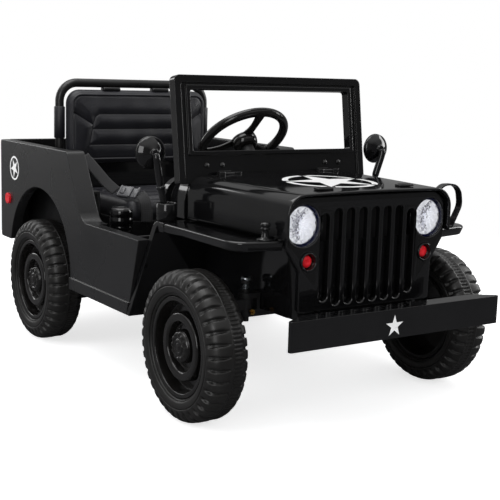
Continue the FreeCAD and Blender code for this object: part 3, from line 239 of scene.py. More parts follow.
def makeCamera(look):
    # The line of sight is (cos p cos y, cos p sin y, sin p); the picture's right and up roll about it.
    cp, sp = math.cos(look["pitch"]), math.sin(look["pitch"])
    ahead = Vector((cp * math.cos(look["yaw"]), cp * math.sin(look["yaw"]), sp))
    right = ahead.cross(Vector((0, 0, 1))).normalized()
    up = right.cross(ahead)
    c, s = math.cos(look["roll"]), math.sin(look["roll"])
    rolledRight, rolledUp = c * right + s * up, c * up - s * right
    data = bpy.data.cameras.new("camera")
    data.lens, data.sensor_width = look["lens"], 36
    camera = linked(bpy.data.objects.new("camera", data))
    turn = Matrix((rolledRight, rolledUp, -ahead)).transposed().to_4x4()
    camera.matrix_world = Matrix.Translation(look["place"]) @ turn
    bpy.context.scene.camera = camera


studio = {
    "floorHalf": 1.9, "floorDrop": 0.0004,
    "floorColour": "#f4f4f5", "floorInGloss": "#707072", "cameraGlow": 0.70,
    # what the room gives to matt surfaces
    "ambient": 0.62,
    # the pale backdrop that gloss shows, on the left and behind
    "mirrorBright": 0.24,
    # the unlit part of the room in front, to the right of the camera
    "mirrorDim": 0.10,
    # the ceiling, which only surfaces that lean show
    "mirrorTop": 0.80,
    "dimToward": (0.80, 0.60, 0.0), "dimSpan": (-0.15, 0.75), "topSpan": (0.25, 0.80),
    # name, place, aimed at, width, height, watts, shown by gloss
    "lamps": (
        ("topSoftbox", (-0.15, -0.35, 1.9), (0.0, 0.0, 0.3), 1.6, 1.2, 15.0, True),
        ("sideFill", (-0.3, -2.3, 1.15), (0.0, 0.0, 0.3), 1.5, 1.1, 13.0, False),
        ("frontFill", (2.6, 0.3, 1.5), (0.2, 0.0, 0.3), 0.9, 0.9, 9.0, False),
        ("cornerStrip", (2.3, -2.4, 1.3), (0.3, 0.0, 0.3), 1.1, 1.9, 24.0, True),
        ("rearStrip", (-2.4, -1.0, 1.3), (0.0, 0.0, 0.4), 0.50, 1.8, 10.0, True),
        ("leftStrip", (0.6, 2.6, 1.4), (0.2, 0.0, 0.4), 0.80, 1.8, 28.0, True),
    ),
}


def makeStudio(look):
    # a pale floor, a pale room seen by the camera, three soft lamps, and three strips that only gloss shows
    half, drop = look["floorHalf"], look["floorDrop"]
    mesh = bpy.data.meshes.new("floor")
    corners = [(x, y, -drop) for x, y in ((-half, -half), (half, -half), (half, half), (-half, half))]
    mesh.from_pydata(corners, [], [(0, 1, 2, 3)])
    floor = linked(bpy.data.objects.new("floor", mesh))
    # matt white paint: an even pale ground with a soft shadow
    material, tree, place = startMaterial("paintedStudioFloor")
    ray = addNode(tree, "ShaderNodeLightPath")
    speckle = addNode(tree, "ShaderNodeTexNoise", None, {"Vector": place, "Scale": 3.0, "Detail": 3.0})
    paint = addSurface(tree, {
        "Base Color": addMix(tree, (ray, "Is Glossy Ray"), look["floorColour"], look["floorInGloss"]),
        "Specular IOR Level": 0.0, "Roughness": addSpread(tree, (speckle, "Fac"), 0.55, 0.65)})
    glow = addMath(tree, "MULTIPLY", (ray, "Is Camera Ray"), look["cameraGlow"])
    light = addNode(tree, "ShaderNodeEmission", None, {"Color": (1, 1, 1, 1), "Strength": glow})
    both = addNode(tree, "ShaderNodeAddShader", None, {0: (paint, 0), 1: (light, 0)})
    mesh.materials.append(finishMaterial(material, both))

    world = bpy.data.worlds.new("room")
    bpy.context.scene.world = world
    world.use_nodes = True
    tree = world.node_tree
    tree.nodes.clear()
    ray = addNode(tree, "ShaderNodeLightPath")
    around = (addNode(tree, "ShaderNodeTexCoord"), "Generated")
    toward = addNode(tree, "ShaderNodeVectorMath", {"operation": "DOT_PRODUCT"}, {
        0: around, 1: look["dimToward"]})
    height = addNode(tree, "ShaderNodeSeparateXYZ", None, {"Vector": around})
    mirror = addRamp(tree, (toward, "Value"), look["dimSpan"], (look["mirrorBright"], look["mirrorDim"]))
    ceiling = addRamp(tree, (height, "Z"), look["topSpan"], (0.0, look["mirrorTop"]))
    glossy = addMath(tree, "MULTIPLY", (ray, "Is Glossy Ray"), addMath(tree, "MAXIMUM", mirror, ceiling))
    matt = addMath(tree, "MULTIPLY", (ray, "Is Diffuse Ray"), look["ambient"])
    seen = addMath(tree, "MAXIMUM", (ray, "Is Camera Ray"), (ray, "Is Transmission Ray"))
    total = addMath(tree, "MAXIMUM", addMath(tree, "ADD", glossy, matt), seen)
    background = addNode(tree, "ShaderNodeBackground", None, {"Color": (1, 1, 1, 1), "Strength": total})
    addNode(tree, "ShaderNodeOutputWorld", None, {"Surface": (background, 0)})

    for name, place, target, width, height, watts, shown in look["lamps"]:
        data = bpy.data.lights.new(name, "AREA")
        data.shape, data.size, data.size_y, data.energy = "RECTANGLE", width, height, watts
        lamp = linked(bpy.data.objects.new(name, data))
        lamp.location = place
        lamp.rotation_euler = (Vector(target) - Vector(place)).to_track_quat("-Z", "Y").to_euler()
        lamp.visible_camera, lamp.visible_glossy = False, shown
        # the strips only draw lights along the edges
        lamp.visible_diffuse = "Strip" not in name
    bpy.context.scene.view_settings.view_transform = "Standard"


makeCamera(view)
makeStudio(studio)
print("stage: camera, floor and lamps")

# Materials


def cloudyLook(tree, place, look, detail):
    # a cloud pattern, the colour that it shades, and the roughness that it varies about its middle
    cloud = addNoise(tree, place, look["cloudMm"], detail)
    middle, half = look["roughness"], look["roughnessSpread"]
    colour = addMix(tree, addSpread(tree, cloud, 0, 1), look["colour"], look["colourPale"])
    return {"Base Color": colour, "Roughness": addSpread(tree, cloud, middle - half, middle + half)}


def mouldedPlastic(name, look):
    # Injection-moulded plastic. The tool's grain is a fine bump, slow cooling leaves a faint wave in the
    # gloss, edges are rounded by the tool, and handling leaves cloudy differences of gloss and colour.
    material, tree, place = startMaterial(name)
    edge = addNode(tree, "ShaderNodeBevel", {"samples": 12}, {"Radius": look["edgeMm"] / 1000})
    wave = addNoise(tree, place, look["waveMm"], 1.0)
    waved = addBump(tree, wave, look["waveDepthMm"], (edge, "Normal"))
    grain = addNoise(tree, place, look["grainMm"], 2.0)
    grained = addBump(tree, grain, look["grainDepthMm"], waved)
    return finishMaterial(material, addSurface(tree, {
        **cloudyLook(tree, place, look, 3.0), "IOR": look["ior"], "Normal": grained}))


# ABS from a polished mould: deep black with mirror reflections that waver a little
glossAbs = mouldedPlastic("polishedAbs", {
    "colour": "#0d0d0e", "colourPale": "#121213", "ior": 1.52, "roughness": 0.07, "roughnessSpread": 0.02,
    "edgeMm": 2.2, "cloudMm": 90, "waveMm": 70, "waveDepthMm": 0.05, "grainMm": 2.2, "grainDepthMm": 0.004})
# polypropylene from a satin mould: black that spreads the light of the room into a soft grey
satinPp = mouldedPlastic("satinPolypropylene", {
    "colour": "#161617", "colourPale": "#1b1b1c", "ior": 1.49, "roughness": 0.28, "roughnessSpread": 0.05,
    "edgeMm": 3.0, "cloudMm": 120, "waveMm": 80, "waveDepthMm": 0.06, "grainMm": 1.4, "grainDepthMm": 0.010})
# polypropylene from a spark-eroded mould, for floors and under parts: no mirror at all
mattPp = mouldedPlastic("grainedPolypropylene", {
    "colour": "#141415", "colourPale": "#19191a", "ior": 1.49, "roughness": 0.52, "roughnessSpread": 0.06,
    "edgeMm": 1.2, "cloudMm": 60, "waveMm": 50, "waveDepthMm": 0.05, "grainMm": 1.1, "grainDepthMm": 0.03})
# the rims: satin black with gloss on their raised rings
wheelPp = mouldedPlastic("satinWheelPolypropylene", {
    "colour": "#111010", "colourPale": "#161514", "ior": 1.50, "roughness": 0.13, "roughnessSpread": 0.03,
    "edgeMm": 3.2, "cloudMm": 45, "waveMm": 40, "waveDepthMm": 0.06, "grainMm": 1.2, "grainDepthMm": 0.008})
# blow-moulded tyre plastic with a rubber touch: dark grey, dull, slightly dusty
tyrePe = mouldedPlastic("blowMouldedTyre", {
    "colour": "#141312", "colourPale": "#1c1b1a", "ior": 1.50, "roughness": 0.42, "roughnessSpread": 0.06,
    "edgeMm": 0.7, "cloudMm": 35, "waveMm": 18, "waveDepthMm": 0.10, "grainMm": 1.2, "grainDepthMm": 0.025})
# ABS of the lamp cups: very dark blue, so that the wall beside the lens looks blue-black
navyAbs = mouldedPlastic("navyLampAbs", {
    "colour": "#060b2e", "colourPale": "#0a1038", "ior": 1.50, "roughness": 0.15, "roughnessSpread": 0.03,
    "edgeMm": 0.8, "cloudMm": 40, "waveMm": 30, "waveDepthMm": 0.04, "grainMm": 2.0, "grainDepthMm": 0.004})
# glass-filled nylon of the belt's buckle: mid grey, slightly glossy
greyNylon = mouldedPlastic("greyNylonBuckle", {
    "colour": "#4a4a4d", "colourPale": "#5c5c60", "ior": 1.53, "roughness": 0.24, "roughnessSpread": 0.05,
    "edgeMm": 1.0, "cloudMm": 20, "waveMm": 20, "waveDepthMm": 0.04, "grainMm": 1.5, "grainDepthMm": 0.008})
# polycarbonate lamp plastic, clear red: saturated and wet-looking
redPc = mouldedPlastic("redPolycarbonate", {
    "colour": "#c40c1a", "colourPale": "#f02632", "ior": 1.58, "roughness": 0.10, "roughnessSpread": 0.02,
    "edgeMm": 0.6, "cloudMm": 7, "waveMm": 4, "waveDepthMm": 0.5, "grainMm": 1.5, "grainDepthMm": 0.01})


def coatedSteel(name, look):
    # Steel tube or sheet under paint: a thin smooth film with a slight orange peel from the spray.
    material, tree, place = startMaterial(name)
    edge = addNode(tree, "ShaderNodeBevel", {"samples": 4}, {"Radius": look["edgeMm"] / 1000})
    peel = addBump(tree, addNoise(tree, place, look["peelMm"], 1.0), look["peelDepthMm"], (edge, "Normal"))
    # a "glow" in the look is painted light: an emission in the film's own colour, though the part is no lamp
    return finishMaterial(material, addSurface(tree, {
        **cloudyLook(tree, place, {**look, "roughnessSpread": 0.05}, 3.0),
        "Metallic": look["metallic"], "Normal": peel,
        "Emission Color": hexToLinear(look["colour"]), "Emission Strength": look.get("glow", 0.0)}))


# powder-coated steel: black, a little duller than the panels
blackSteel = coatedSteel("powderCoatedSteel", {
    "colour": "#131313", "colourPale": "#181818", "metallic": 0.0, "roughness": 0.32,
    "edgeMm": 1.0, "cloudMm": 60, "peelMm": 2.0, "peelDepthMm": 0.02})
# zinc-plated steel: bright blue-grey metal of screws and pins
zincSteel = coatedSteel("zincPlatedSteel", {
    "colour": "#9fa6ab", "colourPale": "#c3c8ca", "metallic": 1.0, "roughness": 0.28,
    "edgeMm": 0.4, "cloudMm": 12, "peelMm": 0.9, "peelDepthMm": 0.01})
# vacuum-metallised reflector: aluminium film on plastic, a near mirror
chromeFilm = coatedSteel("metallisedReflector", {
    "colour": "#dfe3e6", "colourPale": "#f2f4f5", "metallic": 1.0, "roughness": 0.09,
    "edgeMm": 0.3, "cloudMm": 20, "peelMm": 4.0, "peelDepthMm": 0.02})
# aluminium film on the lamp's facets: silver that a painted glow keeps bright from every side, in the cup's
# shade
lampSilverPaintedGlow = coatedSteel("facetedLampFilmPaintedGlow", {
    "colour": "#f1f3f5", "colourPale": "#ffffff", "metallic": 0.30, "roughness": 0.20, "glow": 0.36,
    "edgeMm": 0.3, "cloudMm": 8, "peelMm": 5.0, "peelDepthMm": 0.6})
# zinc and copper alloy of the small nut under the steering corner: yellow metal
brassNut = coatedSteel("brassNutMetal", {
    "colour": "#9c7a3c", "colourPale": "#b8944e", "metallic": 1.0, "roughness": 0.30,
    "edgeMm": 0.4, "cloudMm": 6, "peelMm": 1.5, "peelDepthMm": 0.02})


def leatherette(name, look):
    # Embossed vinyl on cloth: cells of a skin print with creases between them, and a soft sheen.
    material, tree, place = startMaterial(name)
    cells = addNode(tree, "ShaderNodeTexVoronoi", {"feature": "DISTANCE_TO_EDGE"}, {
        "Vector": place, "Scale": 1000 / look["cellMm"], "Randomness": 0.9})
    crease = addRamp(tree, (cells, "Distance"), (0.0, look["creaseTo"]), (0.0, 1.0))
    return finishMaterial(material, addSurface(tree, {
        **cloudyLook(tree, place, look, 4.0), "IOR": 1.5, "Normal": addBump(tree, crease, look["depthMm"]),
        "Sheen Weight": 0.05, "Sheen Roughness": 0.5}))


# skin print of about 1 mm, drawn at 2.2 mm so that it shows
seatVinyl = leatherette("embossedVinyl", {
    "colour": "#121218", "colourPale": "#191920", "cellMm": 2.2, "creaseTo": 0.22, "depthMm": 0.10,
    "cloudMm": 70, "roughness": 0.38, "roughnessSpread": 0.06})


def webbing(name, look):
    # Woven polyester strap: two crossed ribs, the sine of each way multiplied, as wide as the threads.
    material, tree, place = startMaterial(name)
    pattern = {"Vector": place, "Scale": 1000 / look["ribMm"] / 6.28}
    ribs = addNode(tree, "ShaderNodeTexWave", {"bands_direction": "Z"}, pattern)
    cross = addNode(tree, "ShaderNodeTexWave", {"bands_direction": "Y"}, pattern)
    weave = addMath(tree, "MULTIPLY", (ribs, "Fac"), (cross, "Fac"))
    return finishMaterial(material, addSurface(tree, {
        "Base Color": addMix(tree, weave, look["colour"], look["colourPale"]), "Roughness": 0.75,
        "Normal": addBump(tree, weave, look["depthMm"]), "Sheen Weight": 0.15, "Sheen Roughness": 0.4}))


# threads of about 0.8 mm drawn as 2 mm ribs so that they show
beltWeb = webbing("wovenPolyesterStrap", {
    "colour": "#101011", "colourPale": "#26262a", "ribMm": 2.0, "depthMm": 0.2})


def clearPlastic(name, look):
    # Thin clear polycarbonate: it lets nearly all light through with a slight tint, and its facets mirror a
    # little, more at the grazing edge. A cell bump stands for the moulded facets.
    material, tree, place = startMaterial(name)
    facets = addNode(tree, "ShaderNodeTexVoronoi", {"feature": "F1"}, {
        "Vector": place, "Scale": 1000 / look["facetMm"]})
    bump = addBump(tree, (facets, "Distance"), look["depthMm"])
    tint = hexToLinear(look["colour"])
    clear = addNode(tree, "ShaderNodeBsdfTransparent", None, {"Color": tint})
    gloss = addSurface(tree, {"Base Color": tint, "Roughness": 0.04, "Metallic": 1.0, "Normal": bump})
    share = addNode(tree, "ShaderNodeFresnel", None, {"IOR": 1.5, "Normal": bump})
    return finishMaterial(material, addNode(tree, "ShaderNodeMixShader", None, {
        0: (share, 0), 1: (clear, 0), 2: (gloss, 0)}))


clearPc = clearPlastic("clearPolycarbonate", {"colour": "#fdfdff", "facetMm": 7.0, "depthMm": 0.5})


def vinylFilm(name, look):
    # Printed self-adhesive film: flat colour, slightly worn where it meets the plastic's grain.
    material, tree, place = startMaterial(name)
    wear = addSpread(tree, addNoise(tree, place, look["wearMm"], 5.0), 0, 1, 0.60, 0.72)
    return finishMaterial(material, addSurface(tree, {
        "Base Color": addMix(tree, wear, look["colour"], look["worn"]), "Roughness": 0.42, "IOR": 1.46}))


whiteVinyl = vinylFilm("whiteVinylFilm", {"colour": "#f8f8f8", "worn": "#dddddd", "wearMm": 3.0})

finishes = {
    glossAbs: ("hood", "grille_panel", "front_fender_right", "front_fender_left", "nose_box", "dashboard",
               "windscreen_frame", "bumper", "marker_bezels", "mirror_right", "mirror_left", "headlamp_right",
               "headlamp_left", "backrest_shell", "lamp_guard", "side_console", "cowl"),
    satinPp: ("tub_side_right", "tub_side_left", "rear_panel", "steering_wheel", "screen_hinges", "seat_base",
              "fender_fitting", "bumper_bracket"),
    mattPp: ("floor_pan", "load_floor", "wheel_house_right", "wheel_house_left", "chassis_frame",
             "front_carrier", "firewall", "steering_column", "battery_block", "motor_gearboxes",
             "belt_buckle", "knuckle_right", "knuckle_left", "rear_axle", "front_axle", "grille_baffle"),
    wheelPp: ("rim_front_right", "rim_front_left", "rim_rear_right", "rim_rear_left"),
    tyrePe: ("tyre_front_right", "tyre_front_left", "tyre_rear_right", "tyre_rear_left"),
    blackSteel: ("roll_bar",),
    redPc: ("marker_lamp_right", "marker_lamp_left", "side_reflectors", "tail_lamps"),
    clearPc: ("headlamp_lens_right", "headlamp_lens_left"),
    seatVinyl: ("seat_cushion", "backrest_pad"),
    beltWeb: ("seat_belt",),
}
for finish, names in finishes.items():
    for name in names:
        slots = nodes[name].data.materials
        if not len(slots):
            slots.append(finish)
        for i in range(len(slots)):
            slots[i] = finish
print("stage: materials on", sum(len(names) for names in finishes.values()), "nodes")

# Tyres
wheelNames = ("front_right", "front_left", "rear_right", "rear_left")
hands = (("right", -1), ("left", 1))
tyre = {
    "lugs": 38, "perLug": 18, "rows": 31, "wallFrom": 30,
    # (across, radius) in mm
    "half": ((0, 136.4), (7, 136.9), (15, 136.8), (23, 135.6), (30, 132.2), (35, 127.0), (38.2, 120.5),
             (39.6, 113.5), (39.8, 107.5), (39.2, 102.5), (37.8, 98.0), (35.4, 94.6), (32.5, 92.4)),
    # the fine bars beside the seam, to each lug
    "bars": 3, "barFrom": 2.4, "barTo": 20.0, "barGap": 1.5, "bandMm": 0.8, "barDeepMm": 2.0,
    "grooveHalfMm": 2.7, "grooveDepthMm": 6.2, "grooveFrom": 4.0, "grooveToRadius": 113.5,
    "grooveSoftMm": 0.9, "crownMm": 0.45, "crownReachMm": 4.0,
    # the share of its width and depth that a groove has at its start, and how much it gains outwards
    "grooveWide": (0.75, 0.75), "grooveDeep": (0.62, 0.38),
    # radius, half width and depth of the lines on the sidewall, in mm
    "ringLines": ((110.0, 0.6, 2.2), (95.0, 0.55, 1.8)), "lineRows": (-0.9, -0.45, 0, 0.45, 0.9),
    "ridge": ((-1.6, -1.0), (-1.1, 0.1), (0, 0.55), (1.1, 0.1), (1.6, -1.0)),
}


def tyreHalf(look, side, inner):
    # One half of the tread and one sidewall, turned about Y. The lug tops are the smooth outer line. A groove
    # between two lugs sinks along the line's normal by depth x step(half width - arc distance), its ends
    # rounded by a half ellipse, deeper and wider toward the shoulder. The halves are half a lug apart.
    fine = throughPoints(look["half"], 600)
    length = travelAlong(fine)
    wall = fine[:, 0] > look["wallFrom"]
    rings = [length[np.argmax((fine[:, 1] < ring) & wall)] for ring, half, deep in look["ringLines"]]
    near = [at + off for at in rings for off in look["lineRows"]]
    rows = np.sort(np.r_[np.linspace(0, length[-1], look["rows"]), near])
    line = np.stack([np.interp(rows, length, fine[:, i]) for i in (0, 1)], 1)
    across, radius = line.T
    tangent = unitRows(np.gradient(line, axis=0))
    outward = np.stack([-tangent[:, 1], tangent[:, 0]], 1)
    travel = travelAlong(line)
    start = np.interp(look["barTo"] + look["barGap"] if inner else look["grooveFrom"], across, travel)
    stop = travel[np.argmax(radius < look["grooveToRadius"])]
    share = np.clip((travel - start) / (stop - start), 0, 1)
    inside = (travel > start) & (travel < stop)
    ends = np.sqrt(np.clip(1 - np.abs(2 * share - 1) ** 6, 0, 1)) * inside
    (wide, widens), (deep, deepens) = look["grooveWide"], look["grooveDeep"]
    halfWidth = look["grooveHalfMm"] * (wide + widens * share) * ends
    depth = look["grooveDepthMm"] * (deep + deepens * smoothStep(share * 2.2)) * smoothStep((1 - share) * 4)
    depth = depth * inside
    count = look["lugs"] * look["perLug"]
    angle = np.arange(count) * 2 * np.pi / count
    local = (np.arange(count) / look["perLug"] + (0.5 if side > 0 else 0)) % 1.0
    arc = np.minimum(local, 1 - local)[None] * (2 * np.pi * radius / look["lugs"])[:, None]
    halfWidth = halfWidth[:, None]
    sunk = depth[:, None] * smoothStep((halfWidth - arc) / look["grooveSoftMm"] + 0.5)
    sunk *= (halfWidth > 0.2)
    # lug edges are rounded down a little
    rounded = smoothStep(1 - (arc - halfWidth) / look["crownReachMm"])
    sunk += look["crownMm"] * rounded * inside[:, None] * (arc > halfWidth)
    band = smoothStep((across - look["barFrom"]) / 1.2) * smoothStep((look["barTo"] - across) / 2.5)
    wave = 0.5 - 0.5 * np.cos(angle * look["lugs"] * look["bars"] + np.pi)
    sunk += inner * band[:, None] * (look["bandMm"] + look["barDeepMm"] * smoothStep(wave * 1.8 - 0.4)[None])
    for ring, half, deep in look["ringLines"]:
        onWall = np.exp(-((radius - ring) / half) ** 2) * (across > look["wallFrom"])
        sunk += deep * onWall[:, None]
    y = side * (across[:, None] - sunk * outward[:, :1])
    r = radius[:, None] - sunk * outward[:, 1:]
    return np.stack([r * np.sin(angle), y, r * np.cos(angle)], -1)


def tyreRidge(look):
    # the mould's parting line: a thin raised rib round the crown, closed below
    crown = look["half"][0][1]
    line = throughPoints([(across, crown + rise) for across, rise in look["ridge"]], 9)
    points, _ = turned(line, (0, 1, 0), (0, 0, 0), look["lugs"] * 8)
    return points, gridFaces(len(line), look["lugs"] * 8, wrapRows=True, wrapColumns=True)


def makeTyres(look):
    # One closed grid: the inner half from its bead to the crown, the outer half back to its bead, and the
    # band under the beads, which the rim hides.
    for name in wheelNames:
        out = -1 if "right" in name else 1
        inner, outer = tyreHalf(look, -out, True), tyreHalf(look, out, False)
        below = (0.997, 1, 0.997)
        band = [outer[-1] * (1, share, 1) * below for share in (0.9, 0.0, -0.9)]
        grid = np.concatenate([inner[::-1], outer[1:], band])
        tread = gridFaces(len(grid), grid.shape[1], wrapRows=True, wrapColumns=True)
        points, faces = joinParts([(grid, tread), tyreRidge(look)])
        low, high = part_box("tyre_" + name)
        centre = (np.array(low) + np.array(high)) / 2
        points = points / 1000 + centre
        piece = meshPiece("luggedTyre_" + name, points, faces, "wheel_" + name, "tyre_rubber", tyrePe)
        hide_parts("tyre_" + name)


makeTyres(tyre)
print("stage: lugged tyres")

# Wheel trim
wheelTrim = {
    "faceMm": 33.0,
    # (radius, height over the hub's face) in mm
    "hub": ((0.0, 2.6), (5.0, 2.6), (7.0, 1.2), (9.0, 1.0), (10.5, 2.0), (13.5, 1.8), (15.0, -0.4),
            (18.0, -0.6), (19.5, 1.0), (23.5, 0.6), (27.0, -1.8), (29.2, -6.0), (29.9, -16.0)),
    "knobs": 12, "knobMm": 1.5, "knobAt": 0.0225, "knobReach": 0.003, "hubDepthMm": 4.0, "columns": 72,
    # how many, share of a step that they are turned, ring, depth, radius and rise in mm: bolts and screws
    "fixings": ((5, 0.25, 70.0, 23.0, 4.2, 4.5), (4, 0.5, 37.0, 19.0, 3.2, 2.0)),
}


def domedDisc(centre, axis, radius, rise, rings=5, segments=20):
    # a low dome closed at its pole: height = rise x cos(quarter turn x share), with a short wall below
    share = np.r_[1.0, np.linspace(1, 0.02, rings)]
    height = np.r_[-rise * 0.6, rise * np.cos(np.linspace(np.pi / 2, 0.05, rings))]
    return turned(np.stack([height, radius * share], 1), axis, centre, segments)


def makeWheelTrim(look):
    # Per wheel: a hub cap whose height shallow knobs change, screws in the bowl and bolts in the groove.
    for name in wheelNames:
        low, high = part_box("rim_" + name)
        centre = (np.array(low) + np.array(high)) / 2
        side = 1 if centre[1] > 0 else -1
        face = centre[1] + side * look["faceMm"] / 1000
        radius, rise = np.array(look["hub"]).T / 1000
        hubFace = face - side * (look["hubDepthMm"] / 1000)
        line = throughPoints(np.stack([rise + 0.0002, radius], 1), 34)
        angle = fullTurn(look["columns"])
        near = np.exp(-((line[:, 1] - look["knobAt"]) / look["knobReach"]) ** 2)[:, None]
        out = line[:, :1] + look["knobMm"] / 1000 * np.cos(look["knobs"] * angle)[None] * near
        points = np.stack([centre[0] + line[:, 1:] * np.cos(angle), hubFace + side * out,
                           centre[2] + line[:, 1:] * np.sin(angle)], -1).reshape(-1, 3)
        faces = gridFaces(len(line), look["columns"], wrapColumns=True)[:, ::side]
        meshPiece("hubCap_" + name, points, faces, "wheel_" + name, "wheel_plastic", wheelPp)
        heads = []
        for count, shift, ring, deep, half, rise in look["fixings"]:
            for i in range(count):
                turn = 2 * np.pi * (i + shift) / count
                place = (centre[0] + ring / 1000 * np.cos(turn), face - side * deep / 1000,
                         centre[2] + ring / 1000 * np.sin(turn))
                heads.append(domedDisc(place, (0, side, 0), half / 1000, rise / 1000))
        meshPiece("wheelFixings_" + name, *joinParts(heads), "wheel_" + name, "wheel_plastic", wheelPp)


makeWheelTrim(wheelTrim)
print("stage: wheel trim")

# Hood, grille and front fenders
hood = {
    "rearX": 174.0, "frontX": 484.0, "skirtZ": 338.3, "skinMm": 5.0, "lipMm": 2.6,
    # at the rear and at the front
    "half": (207.0, 188.5), "top": (421.0, 419.0), "round": (34.0, 37.0), "crown": (6.0, 2.0),
    # the two rests for the folded windscreen, each a block with two ribs: shift, level, size and edge
    "rests": ((449.0, -89.0), (449.0, 99.0)),
    "restParts": ((0, 422.8, (15, 34, 3.6), 1.2), (-3.4, 425, (3.6, 24.48, 1.6), 0.7),
                  (3.4, 425, (3.6, 24.48, 1.6), 0.7)),
}


def hoodSection(look, x, inset):
    # One section for each x: a straight side, a quarter round and a crowned top, mirrored. The sizes run
    # evenly from rear to front, and everything moves inward by the inset.
    t = ((x - look["rearX"]) / (look["frontX"] - look["rearX"]))[:, None]
    size = lambda name: look[name][0] + (look[name][1] - look[name][0]) * t
    half, top, bend, crown = size("half") - inset, size("top") - inset, size("round") - inset, size("crown")
    side = np.linspace(0, 1, 8)[None, :-1]
    turn = np.linspace(0, np.pi / 2, 15)[None]
    flat = np.linspace(-1, 1, 42)[None, 1:-1]
    ones = np.ones_like(side)
    y = [-half * ones, -half + bend - bend * np.cos(turn), (half - bend) * flat]
    z = [look["skirtZ"] + (top - bend - look["skirtZ"]) * side, top - bend + bend * np.sin(turn),
         top + crown * (1 - flat ** 2)]
    y += [-y[1][:, ::-1], half * ones]
    z += [z[1][:, ::-1], z[0][:, ::-1]]
    return np.hstack(y), np.hstack(z)


def makeHood(look):
    # Outer skin from rear to front, a rounded lip at the front edge, then the inner skin back; closed below.
    lip, skin = look["lipMm"], look["skinMm"]
    roll, edge = np.linspace(0, np.pi / 2, 6)[1:], look["frontX"] - lip
    along, back = np.linspace(look["rearX"], edge, 48), np.linspace(edge, look["rearX"], 48)[1:]
    x = np.r_[along, edge + lip * np.sin(roll), edge + lip * np.cos(roll), back]
    inset = np.r_[np.zeros(48), lip * (1 - np.cos(roll)), skin - lip * (1 - np.sin(roll)), np.full(47, skin)]
    inset = inset[:, None]
    y, z = hoodSection(look, x, inset)
    rows, columns = y.shape
    points = np.stack([np.broadcast_to(x[:, None], y.shape), y, z], -1).reshape(-1, 3)
    faces = gridFaces(rows, columns, wrapRows=True)[:, ::-1]
    pairs = np.arange(rows // 2 - 1)
    across = rows - 1 - pairs
    for column in (0, columns - 1):
        a, b = pairs * columns + column, (pairs + 1) * columns + column
        c, d = (across - 1) * columns + column, across * columns + column
        strip = np.stack([a, b, c, d], 1)
        faces = np.vstack([faces, strip if column else strip[:, ::-1]])
    piece = meshPiece("hoodShell", points / 1000, faces, "car", "body_plastic", glossAbs)
    closeMesh(piece.data, 1.0)
    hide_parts("hood")
    parts = [bevelled((middleX + shift, middleY, level), size, edge) for middleX, middleY in look["rests"]
             for shift, level, size, edge in look["restParts"]]
    mmPiece("hoodRests", joinParts(parts), "car", "body_plastic", mattPp)


def bevelled(centre, size, radius, steps=3):
    # A box with rounded edges: a cube's grid pulled to the box shrunk by the radius, plus a sphere of it.
    n = 2 * steps + 2
    side = np.r_[-np.cos(np.linspace(0, np.pi / 2, steps + 1)), np.cos(np.linspace(np.pi / 2, 0, steps + 1))]
    side[steps], side[steps + 1] = -1e-3, 1e-3
    u, v = np.meshgrid(side, side, indexing="ij")
    one = np.ones_like(u)
    points, faces = [], []
    for axis in range(3):
        for sign in (-1, 1):
            cube = np.empty((n, n, 3))
            cube[..., axis], cube[..., (axis + 1) % 3], cube[..., (axis + 2) % 3] = sign * one, u, v
            start = len(points) * n * n
            quad = gridFaces(n, n, start=start)
            faces.append(quad[:, ::-1] if sign < 0 else quad)
            points.append(cube.reshape(-1, 3))
    cube = np.vstack(points)
    corner = np.sign(cube) * (np.array(size) / 2 - radius)
    return np.array(centre) + corner + unitRows(cube) * radius, np.vstack(faces)


def filleted(corners, steps=8):
    # A closed outline from corners (a, b, radius): each corner becomes an arc, tangent to both its sides.
    out = []
    count = len(corners)
    for i in range(count):
        p = np.array(corners[i][:2], float)
        before, after = np.array(corners[i - 1][:2]) - p, np.array(corners[(i + 1) % count][:2]) - p
        before, after = unit(before), unit(after)
        radius = corners[i][2]
        half = math.acos(float(np.clip(before @ after, -1, 1))) / 2
        if radius <= 0:
            out.append(p)
            continue
        reach = radius / math.tan(half)
        middle = p + unit(before + after) * radius / math.sin(half)
        a, b = p + before * reach - middle, p + after * reach - middle
        start = math.atan2(a[1], a[0])
        swing = (math.atan2(b[1], b[0]) - start + math.pi) % (2 * math.pi) - math.pi
        turn = start + swing * np.linspace(0, 1, steps + 1)
        out += list(middle + radius * np.stack([np.cos(turn), np.sin(turn)], 1))
    return np.array(out)


grille = {
    "frontX": 473.4, "thickMm": 13.6, "edgeMm": 3.6,
    # (y, z, radius) in mm
    "outline": ((-153, 208, 6), (153, 208, 6), (153, 281, 12), (182, 325, 12), (182, 413, 36),
                (-182, 413, 36), (-182, 325, 12), (-153, 281, 12)),
    "slots": 8, "pitchMm": 28.3, "slotMm": 18.0, "low": (217.0, 226.0), "high": (389.0, 381.0),
    "lampHoles": ((-145.0, 362.5), (145.0, 362.5)), "lampHoleMm": 36.2,
    "markerHoles": ((-135.0, 299.0), (135.0, 299.0)), "markerHoleMm": 14.2,
}


